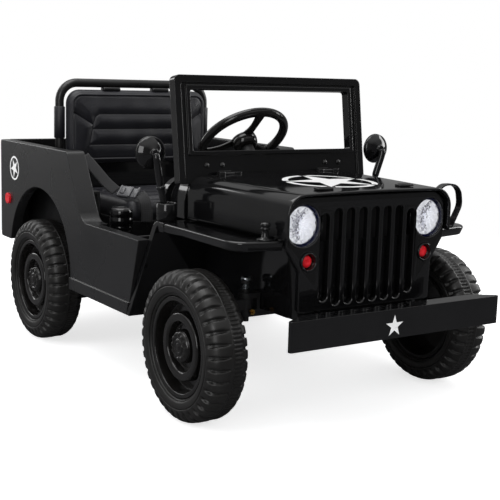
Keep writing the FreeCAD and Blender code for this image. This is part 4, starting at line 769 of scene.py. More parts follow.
def makeGrille(look):
    # A plate cut by a flat curve: outline, eight long slots and four round holes, with all edges rounded.
    shapes = [filleted(look["outline"])]
    for i in range(look["slots"]):
        out = (i - (look["slots"] - 1) / 2) * look["pitchMm"]
        edge = int(i in (0, look["slots"] - 1))
        half, low, high = look["slotMm"] / 2, look["low"][edge], look["high"][edge]
        shapes.append(filleted(((out - half, low, half * 0.98), (out + half, low, half * 0.98),
                                (out + half, high, half * 0.98), (out - half, high, half * 0.98)), 10))
    turn = fullTurn(64)
    ring = np.stack([np.cos(turn), np.sin(turn)], 1)
    shapes += [np.array(c) + ring * look["lampHoleMm"] for c in look["lampHoles"]]
    shapes += [np.array(c) + ring * look["markerHoleMm"] for c in look["markerHoles"]]
    curve = bpy.data.curves.new("grilleCut", "CURVE")
    curve.dimensions, curve.fill_mode = "2D", "BOTH"
    curve.extrude = (look["thickMm"] / 2 - look["edgeMm"]) / 1000
    curve.bevel_depth, curve.bevel_resolution, curve.offset = look["edgeMm"] / 1000, 4, -look["edgeMm"] / 1000
    for shape in shapes:
        spline = curve.splines.new("POLY")
        spline.points.add(len(shape) - 1)
        zero, one = np.zeros((len(shape), 1)), np.ones((len(shape), 1))
        spline.points.foreach_set("co", np.hstack([shape / 1000, zero, one]).ravel())
        spline.use_cyclic_u = True
    cut = linked(bpy.data.objects.new("grilleCut", curve))
    flat = bpy.data.meshes.new_from_object(cut.evaluated_get(bpy.context.evaluated_depsgraph_get()))
    local = np.empty(len(flat.vertices) * 3)
    flat.vertices.foreach_get("co", local)
    local = local.reshape(-1, 3)
    middle = (look["frontX"] - look["thickMm"] / 2) / 1000
    points = np.stack([middle + local[:, 2], local[:, 0], local[:, 1]], 1)
    faces = [list(p.vertices) for p in flat.polygons]
    bpy.data.objects.remove(cut)
    bpy.data.meshes.remove(flat)
    piece = meshPiece("slottedGrille", points, faces, "car", "body_plastic", glossAbs)
    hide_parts("grille_panel")


makeHood(hood)
makeGrille(grille)
print("stage: hood and grille")

fender = {
    "joinX": 205.0, "outY": -273.0, "innerY": -150.0, "innerX": 458.5, "topZ": 338.0, "thickMm": 7.0,
    "lipMm": 18.0, "roundMm": 4.5, "draftMm": 5.0, "growMm": 60.0,
    "corner": (449.0, -273.0, 38.0), "frontEnd": (466.0, -184.0),
}


def fenderPath(look, count=90):
    # The outer edge in plan: straight forward, an arc about the corner, then a slant up to the grille.
    joinX, out = look["joinX"], look["outY"]
    outline = filleted(((joinX, out, 0), look["corner"], (*look["frontEnd"], 0)), 24)
    travel = travelAlong(outline)
    s = np.linspace(0, travel[-1], count)
    path = np.stack([np.interp(s, travel, outline[:, 0]), np.interp(s, travel, outline[:, 1])], 1)
    tangent = unitRows(np.gradient(path, axis=0))
    inward = np.stack([-tangent[:, 1], tangent[:, 0]], 1)
    return path, inward


def makeFenders(look):
    # The section at each station: under side, lip with a rolled foot, rounded shoulder and the top plate,
    # which runs in to a straight inner edge. The lip leans inward by a draft that grows from the join.
    top, lip, wall, bend = look["topZ"], look["lipMm"], look["thickMm"], look["roundMm"]
    roll = np.linspace(0, np.pi / 2, 7)
    foot = (wall - 1.5, 2.0, 0.4, 0.0, 0.0)
    offset = np.r_[30.0, wall + 1, wall, wall, foot, bend * (1 - np.cos(roll))[1:], 30.0]
    height = np.r_[top - wall, top - wall, top - wall - 1, top - lip + np.array([1.5, 0.3, 0.3, 1.2, 3]),
                   top - bend, top - bend + bend * np.sin(roll)[1:], top]
    path, inward = fenderPath(look)
    grow = smoothStep((path[:, 0] - look["joinX"]) / look["growMm"])[:, None]
    down = np.clip((top - bend - height) / (lip - bend), 0, 1) * (offset < 20)
    lean = look["draftMm"] * grow * down[None]
    inside = path[:, None] + inward[:, None] * (offset[None] + lean)[..., None]
    goal = np.stack([np.minimum(path[:, 0], look["innerX"]), np.full(len(path), look["innerY"])], 1)
    inside = np.concatenate([goal[:, None], inside, goal[:, None]], 1)
    height = np.r_[top - wall, height, top]
    points = np.concatenate([inside, np.broadcast_to(height[None, :, None], (*inside.shape[:2], 1))], 2)
    rows, columns = points.shape[:2]
    faces = gridFaces(rows, columns, wrapColumns=True)
    endCap = [list(range((rows - 1) * columns, rows * columns))]
    for hand, side in (("right", 1), ("left", -1)):
        name = "front_fender_" + hand
        shape = points.reshape(-1, 3) * np.array([1, side, 1]), [*faces[:, ::side].tolist(), *endCap]
        piece = mmPiece("fenderTop_" + hand, shape, "car", "body_plastic", glossAbs)
        closeMesh(piece.data, 1.0)
        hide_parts(name)
        rear = nodes[name].data.copy()
        rear.transform(nodes[name].matrix_world)
        keep = bmesh.new()
        keep.from_mesh(rear)
        bmesh.ops.bisect_plane(keep, geom=keep.verts[:] + keep.edges[:] + keep.faces[:], dist=1e-6,
                               plane_co=(look["joinX"] / 1000, 0, 0), plane_no=(1, 0, 0), clear_outer=True)
        keep.to_mesh(rear)
        keep.free()
        stay = linked(bpy.data.objects.new("fenderStrip_" + hand, rear))
        rear.materials.clear()
        rear.materials.append(glossAbs)
        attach(stay, "car")


makeFenders(fender)
print("stage: fenders")

# Lamps
lamp = {
    "outMm": 145.0, "levelMm": 362.5, "lensMm": 32.8, "frontMm": 465.8, "domeMm": 3.4,
    "petals": 12, "steps": 7, "reliefMm": 0.5, "fluteFrom": 0.30, "backMm": 1.5, "columns": 144,
    "bowlX": 458.0, "bowlRadiusMm": 32.2, "rings": 5, "deepMm": 2.2, "toothMm": 1.6, "petalMm": 1.3,
    "bulbMm": 2.6, "bulbReach": 0.14,
    # (x, radius) in mm
    "cup": ((471.5, 35.9), (470.0, 36.4), (458.0, 35.6), (456.0, 34.0), (456.0, 0.05)),
}


def aroundLine(centre, x, reach, angle):
    # points at x whose distance from the line through the centre along X is the reach
    return np.stack([x, centre[1] + reach * np.cos(angle), centre[2] + reach * np.sin(angle)], -1)


def facetedLens(centre, look):
    # A clear dome: forward = rise x (1 - share^2), with bull's-eye steps in the middle and shallow flutes
    # that grow outward. It is a thin shell, closed by a flat back.
    columns = look["columns"]
    share = np.linspace(0.0, 1.0, 26)[:, None]
    angle = fullTurn(columns)
    ripple = np.abs(np.sin(look["petals"] * angle / 2))[None] * smoothStep((share - look["fluteFrom"]) * 6)
    steps = np.abs(np.sin(share * np.pi * look["steps"]))
    relief = look["reliefMm"] * (ripple + steps) * (share < 0.97)
    forward = look["domeMm"] * (1 - share ** 2) + relief
    reach = np.clip(share, 0.01, 1) * look["lensMm"]
    front = aroundLine(centre, centre[0] + forward, reach, angle)
    # the edge and the middle of the flat back
    behind = np.full((2, columns), centre[0] - look["backMm"])
    back = aroundLine(centre, behind, reach[[-1, 0]], angle)
    points = np.concatenate([front, back])
    return points.reshape(-1, 3), gridFaces(len(points), columns, wrapColumns=True)[:, ::-1]


def reflectorBowl(centre, look):
    # A silver bowl behind the lens, cut into rings of facets: each ring steps forward by a saw tooth and is
    # broken round by petals; a small bulb hood stands in the middle.
    share = np.linspace(0.0, 1.0, 40)[:, None]
    angle = fullTurn(look["columns"])
    ring = share * look["rings"]
    petals = look["petalMm"] * np.cos(angle * look["petals"] + np.floor(ring) * 1.9) * smoothStep(share * 3)
    bulb = look["bulbMm"] * np.exp(-(share / look["bulbReach"]) ** 2)
    forward = look["deepMm"] * share ** 2 + look["toothMm"] * (ring % 1.0) + petals + bulb
    reach = np.clip(share, 0.01, 1) * look["bowlRadiusMm"]
    points = aroundLine(centre, look["bowlX"] + forward, reach, angle)
    return points.reshape(-1, 3), gridFaces(*points.shape[:2], wrapColumns=True)[:, ::-1]


def makeHeadlamps(look):
    for hand, side in hands:
        centre = np.array([look["frontMm"] - look["domeMm"], side * look["outMm"], look["levelMm"]])
        lens = mmPiece("facetedLens_" + hand, facetedLens(centre, look), "car", "clear_lens", clearPc)
        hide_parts("headlamp_lens_" + hand)
        # the silver reflector carries a painted glow
        mmPiece("reflector_" + hand, reflectorBowl(centre, look), "car", "clear_lens", lampSilverPaintedGlow)
        shape = turned(look["cup"], (1, 0, 0), (0, *centre[1:]), 96)
        cup = mmPiece("lampCup_" + hand, shape, "car", "dark_plastic", navyAbs)
        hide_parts("headlamp_" + hand)


makeHeadlamps(lamp)

marker = {
    "outMm": 135.0, "levelMm": 299.0,
    # (x, radius) in mm
    "cup": ((465, 0.05), (465, 13.2), (475.4, 13.8), (477, 14.6), (477.4, 15.6),
            (476.2, 16.6), (473.2, 16.9)),
    "lens": ((472.8, 0.05), (472.6, 3), (472, 6), (470.6, 9), (468.6, 10.8), (466, 11.6), (465.2, 11.6)),
    "flutes": 14, "fluteMm": 0.35, "studX": 474.6, "studDown": 18.0, "studMm": 1.9, "studRise": 1.4,
}


def makeMarkers(look):
    # a red fluted lens set deep in a black cup with a rolled rim, and a small tab with a stud below
    for hand, side in hands:
        centre = (0, side * look["outMm"], look["levelMm"])
        points, faces = turned(look["cup"], (1, 0, 0), centre, 64)
        place = (look["studX"], centre[1], centre[2] - look["studDown"])
        stud = domedDisc(place, (1, 0, 0), look["studMm"], look["studRise"])
        both = joinParts([(points, faces[:, ::-1]), stud])
        cup = mmPiece("markerCup_" + hand, both, "car", "dark_plastic", glossAbs)
        if side < 0:
            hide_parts("marker_bezels")
        line = throughPoints(look["lens"], 24)
        flutes = lambda row, a: look["fluteMm"] * np.cos(look["flutes"] * a) * np.clip(row / 8.0, 0, 1)
        points, faces = turned(line, (1, 0, 0), centre, 112, flutes)
        lens = mmPiece("markerLens_" + hand, (points, faces[:, ::-1]), "car", "red_lens", redPc)
        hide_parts("marker_lamp_" + hand)


makeMarkers(marker)
print("stage: lamps")

# Star decals
decals = {
    "liftMm": 0.25,
    "hoodStar": {"centre": (0.354, -0.002), "from": 0.430, "radiusMm": 90.0, "ringMm": 11.5, "starMm": 87.0,
                 "gapDeg": 5.5},
    "tubStar": {"centre": (-0.483, 0.379), "from": 0.302, "radiusMm": 28.5, "ringMm": 4.2, "starMm": 23.5,
                "turnDeg": 115},
    "bumperStar": {"centre": (-0.017, 0.194), "from": 0.574, "starMm": 20.0, "turnDeg": 90},
}


def starShape(radius, turn=0.0, steps=8):
    # a five-pointed star as a fan: points at R and at 0.382 R, its edges cut into short runs, so it can bend
    corner = np.arange(10)
    reach = np.where(corner % 2 == 0, radius, radius * 0.382)
    angle = turn + corner * np.pi / 5
    outline = np.stack([reach * np.cos(angle), reach * np.sin(angle)], 1)
    run = np.linspace(0, 1, steps, endpoint=False)[:, None]
    outline = np.concatenate([outline[i] + (outline[(i + 1) % 10] - outline[i]) * run for i in range(10)])
    rings = np.linspace(0.0, 1.0, 7)[1:]
    points = np.concatenate([outline * r for r in rings] + [np.zeros((1, 2))])
    count = len(outline)
    faces = gridFaces(len(rings), count, wrapColumns=True)[:, ::-1].tolist()
    middle = len(points) - 1
    faces += [[middle, i, (i + 1) % count] for i in range(count)]
    return points, faces


def ringShape(radius, width, turn=0.0, gap=0.0, steps=24):
    # a flat ring of three lines of points in five arcs; a gap, in radians, leaves room for the star's tips
    reach = radius - np.linspace(0, width, 3)[::-1, None]
    arcs = []
    for i in range(5):
        angle = turn + (2 * np.pi / 5) * i + np.linspace(gap, 2 * np.pi / 5 - gap, steps)
        points = np.stack([reach * np.cos(angle), reach * np.sin(angle), np.zeros((3, steps))], -1)
        arcs.append((points, gridFaces(3, steps)[:, ::-1]))
    points, faces = joinParts(arcs)
    return points[:, :2], faces


def bake(piece):
    # puts what the modifiers do into the mesh itself
    mesh = bpy.data.meshes.new_from_object(piece.evaluated_get(bpy.context.evaluated_depsgraph_get()))
    piece.modifiers.clear()
    piece.data = mesh


def layOn(name, shape, place, node, along, lift):
    # sets a flat shape in front of a node, drops it onto the node's surface and keeps it a hair above
    piece = meshPiece(name, place(shape[0]), shape[1], "car", "body_plastic", whiteVinyl)
    wrap = piece.modifiers.new("drop", "SHRINKWRAP")
    wrap.target, wrap.wrap_method = node, "PROJECT"
    wrap.use_project_x, wrap.use_project_y, wrap.use_project_z = (axis == along for axis in "xyz")
    wrap.use_negative_direction = wrap.use_positive_direction = True
    wrap.offset = lift
    bake(piece)
    piece.data.polygons.foreach_set("use_smooth", np.full(len(piece.data.polygons), True))


def makeDecals(look):
    # A star's centre is in the two coordinates of the face that it lies on, and "from" is where it is
    # dropped from in the third one, in metres.
    lift = look["liftMm"] / 1000
    hood, tub, bumper = look["hoodStar"], look["tubStar"], look["bumperStar"]
    shell = bpy.data.objects["hoodShell"]
    level = lambda p, mark: np.full(len(p), mark["from"])
    onHood = lambda p: np.stack([hood["centre"][0] + p[:, 0], hood["centre"][1] + p[:, 1], level(p, hood)], 1)
    ring = ringShape(hood["radiusMm"] / 1000, hood["ringMm"] / 1000, math.pi, math.radians(hood["gapDeg"]))
    layOn("hoodStar", starShape(hood["starMm"] / 1000, math.pi), onHood, shell, "z", lift)
    layOn("hoodRing", ring, onHood, shell, "z", lift)
    star = starShape(tub["starMm"] / 1000, math.radians(tub["turnDeg"]))
    ring = ringShape(tub["radiusMm"] / 1000, tub["ringMm"] / 1000)
    for hand, side in hands:
        node = nodes["tub_side_" + hand]
        onTub = lambda p: np.stack([tub["centre"][0] - p[:, 0] * side, side * level(p, tub),
                                    tub["centre"][1] + p[:, 1]], 1)
        layOn("tubStar_" + hand, star, onTub, node, "y", lift)
        layOn("tubRing_" + hand, ring, onTub, node, "y", lift)
    onBumper = lambda p: np.stack([level(p, bumper), bumper["centre"][0] + p[:, 0],
                                   bumper["centre"][1] + p[:, 1]], 1)
    star = starShape(bumper["starMm"] / 1000, math.radians(bumper["turnDeg"]))
    layOn("bumperStar", star, onBumper, nodes["bumper"], "x", lift)


makeDecals(decals)
print("stage: star decals")

# Seat
backPad = {
    "halfWidthMm": 190.0, "lowMm": 391.0, "highMm": 568.0, "cornerMm": 34.0, "backMm": -434.0,
    "boxingMm": 16.0, "crownMm": 9.5, "weltInsetMm": 11.0, "weltMm": 1.7,
    # (y, z) ends in mm
    "seams": (((-112, 511), (112, 511)), ((-129, 475), (129, 475)), ((-137, 437.5), (137, 437.5)),
              ((-112, 511), (-123, 503)), ((-123, 503), (-128, 485)), ((-128, 485), (-145, 392)),
              ((112, 511), (123, 503)), ((123, 503), (128, 485)), ((128, 485), (145, 392)),
              ((-188, 522), (-128, 485)), ((188, 522), (128, 485))),
}
cushion = {
    "halfWidthMm": 179.5, "lowMm": -418.0, "highMm": -120.5, "cornerMm": 26.0, "baseMm": 292.6,
    "boxingMm": 40.0, "crownMm": 7.0, "weltInsetMm": 11.0, "weltMm": 1.5,
    # (y, x) ends in mm
    "seams": (((-118, -165), (118, -165)), ((-126, -225), (126, -225)), ((-132, -285), (132, -285)),
              ((-138, -345), (138, -345)), ((-118, -165), (-140, -380)), ((118, -165), (140, -380))),
}


# widths and depths of the sewing on both pads, in mm
sewing = {
    "edge": 12.0, "crownReach": 60.0, "weltWide": 1.5, "gutterDeep": 1.2, "gutterAt": 4.0, "gutterWide": 1.8,
    "seamDeep": 2.2, "seamWide": 1.7, "pullDeep": 4.2, "pullWide": 10.0, "fade": 6.0, "slack": 0.45,
}


def nearLine(across, along, ends):
    # distance from each point to the nearest of the straight seams, all in mm
    best = np.full(across.shape, 1e6)
    for (a0, b0), (a1, b1) in ends:
        da, db = a1 - a0, b1 - b0
        t = np.clip(((across - a0) * da + (along - b0) * db) / (da * da + db * db), 0, 1)
        best = np.minimum(best, np.hypot(across - a0 - t * da, along - b0 - t * db))
    return best


def paddedGrid(look, columns=200, rows=150):
    # A cushion seen from its face. Each row is as long as the rounded rectangle is wide there. The height
    # grows from the outline as a quarter round, then as a slow crown; a welt is a bead at its inset with a
    # gutter beside it; a seam pulls the face down sharply close by and softly farther off; slow waves give
    # the slack of the cloth.
    half, low, high, corner = look["halfWidthMm"], look["lowMm"], look["highMm"], look["cornerMm"]
    middle, tall = (low + high) / 2, (high - low) / 2
    ease = lambda n: np.sin(np.linspace(-1, 1, n) * np.pi / 2) * 0.35 + np.linspace(-1, 1, n) * 0.65
    v, u = np.meshgrid(ease(rows), ease(columns), indexing="ij")
    along = middle + v * tall
    over = np.clip(np.abs(v) * tall - (tall - corner), 0, None)
    across = u * (half - corner + np.sqrt(np.clip(corner ** 2 - over ** 2, 0, None)))
    qa, qb = np.abs(across) - (half - corner), np.abs(along - middle) - (tall - corner)
    beyond = np.hypot(np.clip(qa, 0, None), np.clip(qb, 0, None)) + np.minimum(np.maximum(qa, qb), 0)
    inside = np.clip(corner - beyond, 0, None)
    sew = sewing
    quarter = np.sqrt(np.clip(1 - (1 - np.clip(inside / sew["edge"], 0, 1)) ** 2, 0, 1))
    height = look["boxingMm"] * quarter + look["crownMm"] * smoothStep(inside / sew["crownReach"])
    past = inside - look["weltInsetMm"]
    height += look["weltMm"] * np.exp(-(past / sew["weltWide"]) ** 2)
    height -= sew["gutterDeep"] * np.exp(-((past - sew["gutterAt"]) / sew["gutterWide"]) ** 2)
    away = nearLine(across, along, look["seams"])
    fade = smoothStep((past - 1) / sew["fade"])
    height -= fade * sew["seamDeep"] * np.exp(-(away / sew["seamWide"]) ** 2)
    height -= fade * sew["pullDeep"] * np.exp(-(away / sew["pullWide"]) ** 2)
    phase = rng.uniform(0, 6.28, 6)
    slack = (np.sin(across / 31 + phase[0]) * np.sin(along / 23 + phase[1])
             + 0.6 * np.sin(across / 13 + along / 19 + phase[2])
             + 0.5 * np.sin(across / 9 - along / 27 + phase[3]))
    height += fade * sew["slack"] * slack
    return across, along, height


def closedPad(name, look, place, flipped, node, body):
    # the face and a flat back with the same outline, made one closed skin
    across, along, height = paddedGrid(look)
    rows, columns = across.shape
    front = place(across, along, height).reshape(-1, 3)
    back = place(across, along, np.zeros_like(height)).reshape(-1, 3)
    faces = gridFaces(rows, columns)[:, ::-1 if flipped else 1]
    both = joinParts([(front, faces), (back, faces[:, ::-1])])
    piece = mmPiece(name, both, body, "seat_leather", seatVinyl)
    weld = piece.modifiers.new("weld", "WELD")
    weld.merge_threshold = 0.00002
    bake(piece)
    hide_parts(node)


onBack = lambda a, b, h: np.stack([backPad["backMm"] + h, a, b], -1)
onSeat = lambda a, b, h: np.stack([b, a, cushion["baseMm"] + h], -1)
closedPad("backrestPad", backPad, onBack, False, "backrest_pad", "car")
closedPad("seatCushion", cushion, onSeat, True, "seat_cushion", "car")
print("stage: padded seat")

sleeve = {
    "x": -450.0, "outMm": 199.0,
    # (height, radius) in mm
    "profile": ((452, 10.5), (452, 11.8), (453.2, 13), (525.8, 13), (527, 11.8), (527, 10.5)),
}


def makeSleeves(look):
    # a foam sleeve round each post of the hoop: a tube with rounded ends
    for hand, side in hands:
        shape = turned(look["profile"], (0, 0, 1), (look["x"], side * look["outMm"], 0), 32)
        mmPiece("barSleeve_" + hand, shape, "car", "seat_leather", seatVinyl)


makeSleeves(sleeve)
print("stage: hoop sleeves")

# Mirrors, steering wheel and small fittings


def tubeAlong(path, radius, segments=28):
    # A round section carried along a smooth line: centre + r (cos a . side + sin a . up). The side is square
    # to the line and to a fixed reference, so the tube doesn't twist. Each point may have its own radius.
    path = np.asarray(path, float)
    tangent = unitRows(np.gradient(path, axis=0))
    # the axis that the line turns toward least
    reference = np.eye(3)[np.abs(tangent).max(axis=0).argmin()]
    side = unitRows(np.cross(tangent, reference))
    up = np.cross(side, tangent)
    radius = np.broadcast_to(radius, (len(path),)).astype(float)
    # each end is repeated with no radius to speak of, which closes it
    path, side, up = (np.vstack([rows[:1], rows, rows[-1:]]) for rows in (path, side, up))
    radius = np.r_[1e-5, radius, 1e-5][:, None, None]
    angle = fullTurn(segments)[None, :, None]
    points = path[:, None] + radius * (np.cos(angle) * side[:, None] + np.sin(angle) * up[:, None])
    return points.reshape(-1, 3), gridFaces(len(path), segments, wrapColumns=True)[:, ::-1]


mirrorLook = {
    # (forwards, radius) in mm
    "head": ((-5.0, 0.05), (-5.0, 29.0), (-4.4, 30.6), (-2.0, 31.0), (0.6, 30.4), (2.8, 28.4), (8.0, 21.5),
             (12.2, 13.0), (14.3, 7.5), (15.0, 0.05)),
    "knob": ((12.0, 8.4), (17.0, 8.2), (18.6, 6.4), (19.2, 0.05)),
    "collar": ((-3.2, 6.4), (-3.0, 8.4), (-2.0, 9.0), (2.0, 9.0), (3.0, 8.4), (3.2, 6.4)),
    # (height, radius) in mm
    "cup": ((0.1, 0.05), (0.1, 18.7), (1.4, 19.9), (32.3, 19.9), (33.5, 18.9), (33.5, 17.5), (32.5, 16.9),
            (16.75, 16.7), (16.75, 0.05)),
    "glass": ((-0.2, 0.05), (-0.2, 28.0), (0.4, 28.4)), "glassBack": 5.2,
    "headX": 150.0, "headZ": 465.0, "out": {"right": -272.0, "left": 281.0},
    "cupX": 174.0, "cupOut": 250.0, "cupLow": 338.4, "footRise": 4.0,
    # the stem: its first points off the head, its middle's share of the way down, and its radii
    "elbow": (17.5, 0, -1.0), "bend": (21.0, -1.0, -12.0), "midShare": 0.45, "midAhead": 8.0,
    "stemMm": 6.6, "upperMm": 7.4, "tipShare": 0.55, "collarAt": 0.53, "neckMm": 1.4, "neckReach": 0.02,
}


def makeMirrors(look):
    # per mirror: a domed head and its glass, a bent stem with a collar, and a cup on the fender
    for hand, out in look["out"].items():
        side = 1 if out > 0 else -1
        centre = np.array([look["headX"], out, look["headZ"]])
        parts = [turned(throughPoints(look["head"], 44), (1, 0, 0), centre, 96),
                 turned(throughPoints(look["knob"], 14), (1, 0, 0), centre, 36)]
        base = np.array([look["cupX"], side * look["cupOut"], look["cupLow"]])
        foot = base + (0, 0, look["footRise"])
        elbow, bend = (centre + np.array(look[part]) * (1, side, 1) for part in ("elbow", "bend"))
        upper = centre + (foot - centre) * look["midShare"] + (look["midAhead"], 0, 0)
        path = throughPoints([elbow, bend, upper, (upper + foot) / 2, foot], 40)
        travel = np.linspace(0, 1, 40)
        radius = np.where(travel < look["collarAt"], look["upperMm"], look["stemMm"])
        radius = radius - look["neckMm"] * np.exp(-((travel - look["collarAt"]) / look["neckReach"]) ** 2)
        radius = radius * (look["tipShare"] + (1 - look["tipShare"]) * smoothStep(travel * 12))
        parts.append(tubeAlong(path, radius))
        parts.append(turned(look["collar"], path[23] - path[21], path[22], 36))
        parts.append(turned(look["cup"], (0, 0, 1), base, 64))
        piece = mmPiece("mirrorArm_" + hand, joinParts(parts), "car", "body_plastic", glossAbs)
        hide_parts("mirror_" + hand)
        points, faces = turned(look["glass"], (1, 0, 0), centre - (look["glassBack"], 0, 0), 64)
        mmPiece("mirrorGlass_" + hand, (points, faces[:, ::-1]), "car", "body_plastic", chromeFilm)


makeMirrors(mirrorLook)
print("stage: mirrors")

wheelLook = {
    "centre": (50.6, 0.0, 481.3), "lean": 49.0, "ringMm": 91.0, "gripMm": 9.4,
    "boss": ((-23.8, 0.05), (-23.8, 19.0), (-22.0, 22.5), (-16.0, 26.0), (-9.0, 27.4), (-5.0, 27.6),
             (-4.0, 26.0), (-3.2, 26.0), (-2.4, 27.0), (1.2, 26.6), (2.2, 24.6), (2.8, 20.0), (4.6, 19.0),
             (5.6, 15.0), (5.9, 0.05)),
    # per measure of a spoke, wide and thick: full size in mm, its share in the middle, what the ends add
    "spokeSizes": ((21.0, 0.82, 0.35), (8.5, 0.85, 0.25)), "spokes": 3, "spokeFrom": 18.0, "spokeTo": 87.0,
    "spokePower": 0.7, "sagMm": 3.0, "seamMm": 0.7, "seamReach": 0.12,
}


def makeSteeringWheel(look):
    # A ring: R + r cos b outwards and r sin b along the column, with a shallow seam inside; three spokes
    # whose width and thickness swell at both ends; a stepped boss turned about the column.
    lean = math.radians(look["lean"])
    axis = np.array([-math.cos(lean), 0, math.sin(lean)])
    high = np.array([math.sin(lean), 0, math.cos(lean)])
    left = np.array([0, 1.0, 0])
    centre = np.array(look["centre"])
    a = fullTurn(120)[:, None]
    b = fullTurn(28)[None]
    grip = look["gripMm"] - look["seamMm"] * np.exp(-((b - np.pi) / look["seamReach"]) ** 2)
    out = look["ringMm"] + grip * np.cos(b)
    points = (centre + (out * np.cos(a))[..., None] * high + (out * np.sin(a))[..., None] * left
              + (grip * np.sin(b) * np.ones_like(a))[..., None] * axis).reshape(-1, 3)
    parts = [(points, gridFaces(120, 28, wrapRows=True, wrapColumns=True)[:, ::-1])]
    for turn in fullTurn(look["spokes"]):
        radial = math.cos(turn) * high + math.sin(turn) * left
        tangent = -math.sin(turn) * high + math.cos(turn) * left
        t = np.linspace(0, 1, 22)[:, None]
        c = fullTurn(24)[None]
        wide, thick = (full / 2 * (least + more * (2 * t - 1) ** 2)
                       for full, least, more in look["spokeSizes"])
        reach = look["spokeFrom"] + t * (look["spokeTo"] - look["spokeFrom"])
        power = lambda w: np.sign(w) * np.abs(w) ** look["spokePower"]
        sag = -look["sagMm"] * np.sin(np.pi * t)
        spoke = (centre + (reach * np.ones_like(c))[..., None] * radial
                 + (wide * power(np.cos(c)))[..., None] * tangent
                 + (thick * power(np.sin(c)) + sag)[..., None] * axis)
        parts.append((spoke.reshape(-1, 3), gridFaces(22, 24, wrapColumns=True)[:, ::-1]))
    parts.append(turned(look["boss"], tuple(axis), centre, 72))
    piece = mmPiece("steeringWheelRim", joinParts(parts), "steering_wheel", "dark_plastic", wheelPp)
    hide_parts("steering_wheel")


makeSteeringWheel(wheelLook)
print("stage: steering wheel")

fixings = {
    "screen": ((126, 441), (161, 441), (-126, 441), (-161, 441)), "screenFoot": (180.0, 404.0), "rake": 8.3,
    # height over the foot's line, radius and rise in mm: the washer and the head
    "discs": ((-3.4, 5.2, 0.8), (-2.2, 3.6, 1.8)),
}


def makeFixings(look):
    # Screw heads on the windscreen's foot: low domes square to the leaning panel, each with a washer.
    rake = math.radians(look["rake"])
    normal = np.array([math.cos(rake), 0, math.sin(rake)])
    parts = []
    for out, level in look["screen"]:
        x = look["screenFoot"][0] - (level - look["screenFoot"][1]) * math.tan(rake)
        for over, radius, rise in look["discs"]:
            parts.append(domedDisc(np.array([x, out, level]) + normal * over, tuple(normal), radius, rise))
    mmPiece("screenScrews", joinParts(parts), "windscreen", "zinc_steel", blackSteel)


makeFixings(fixings)
print("stage: screws")

# Hoop, belt, steering corner and console
hoop = {
    "x": -450.0, "half": 199.0, "top": 583.5, "bend": 44.0, "posts": (155.5, 350.0, 440.0), "tubeMm": 10.3,
    "clips": (-74.0, 60.0), "clipX": -431.0, "clipZ": 570.0, "clipSize": (20, 46, 9), "clipEdge": 3.8,
}


def makeHoop(look):
    # one bent tube: two posts, two quarter bends and the top run, and two saddle clips over the backrest
    half, top, bend = look["half"], look["top"], look["bend"]
    turn = np.linspace(0, np.pi / 2, 14)
    right = np.stack([-half + bend - bend * np.cos(turn), top - bend + bend * np.sin(turn)], 1)
    post = np.array([(-half, level) for level in look["posts"]])
    mirrored = (-1, 1)
    line = np.vstack([post, right, [(0, top)], right[::-1] * mirrored, post[::-1] * mirrored])
    path = np.hstack([np.full((len(line), 1), look["x"]), line])
    piece = mmPiece("hoopTube", tubeAlong(path, look["tubeMm"], 32), "car", "black_steel", blackSteel)
    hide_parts("roll_bar")
    places = [(look["clipX"], out, look["clipZ"]) for out in look["clips"]]
    parts = [bevelled(place, look["clipSize"], look["clipEdge"]) for place in places]
    mmPiece("hoopClips", joinParts(parts), "car", "dark_plastic", satinPp)


makeHoop(hoop)

beltLook = {
    "upper": ((-262, -222, 424), (-236, -208, 399), (-208, -193, 371), (-184, -179, 352)),
    "lower": ((-132, -149, 350), (-117, -148, 345), (-106, -147, 333), (-101, -146, 314), (-100, -146, 292)),
    "faceToward": (0.62, -0.42, 0.66), "wideMm": 25.0, "thickMm": 1.6, "bowMm": 0.8,
    "buckle": (-154, -162, 351),
    # the buckle's body, button, tongue and three bars: centre, size and edge radius, along the strap
    "blocks": (((-8, 0, 1), (28.52, 30, 9), 3.2), ((-14, 0, 6.2), (10, 16.5, 3.4), 1.4),
               ((14, 0, 1), (19.32, 25.8, 4), 1.8), ((22, 0, 3.5), (5, 30, 6), 2.2),
               ((6, 0, 4.4), (4, 27, 4), 1.8), ((-23, 0, 3), (5, 30.6, 7), 2.4)),
}


def strapAlong(points, look, count=30):
    # A flat strap: the smooth line through the points, its width square to the line and to the way the face
    # looks, with a shallow bow across it.
    path = throughPoints(points, count)
    tangent = unitRows(np.gradient(path, axis=0))
    across = unitRows(np.cross(tangent, np.array(look["faceToward"])))
    normal = np.cross(across, tangent)
    u = np.linspace(-0.5, 0.5, 9)
    bow = (look["thickMm"] / 2 + look["bowMm"] * (0.25 - u ** 2))[None, :, None]
    upper = path[:, None] + u[None, :, None] * look["wideMm"] * across[:, None] + bow * normal[:, None]
    lower = upper[:, ::-1] - look["thickMm"] * normal[:, None]
    ring = np.concatenate([upper, lower], 1)
    around = ring.shape[1]
    faces = gridFaces(count, around, wrapColumns=True)
    caps = [list(range(around))[::-1], [(count - 1) * around + i for i in range(around)]]
    return ring.reshape(-1, 3), [*faces.tolist(), *caps]


def makeBelt(look):
    parts = [strapAlong(look[part], look) for part in ("upper", "lower")]
    piece = mmPiece("lapBelt", joinParts(parts), "car", "belt_webbing", beltWeb)
    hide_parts("seat_belt")
    # the buckle lies along the strap, from its upper end to its lower one
    ahead = unit(np.array(look["lower"][0]) - np.array(look["upper"][-1]))
    toward = np.array(look["faceToward"])
    normal = unit(toward - ahead * (ahead @ toward))
    turn = np.stack([ahead, np.cross(normal, ahead), normal])
    points, faces = joinParts([bevelled(*block) for block in look["blocks"]])
    points = points @ turn + np.array(look["buckle"])
    piece = mmPiece("beltBuckle", (points, faces), "car", "dark_plastic", greyNylon)
    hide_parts("belt_buckle")


makeBelt(beltLook)

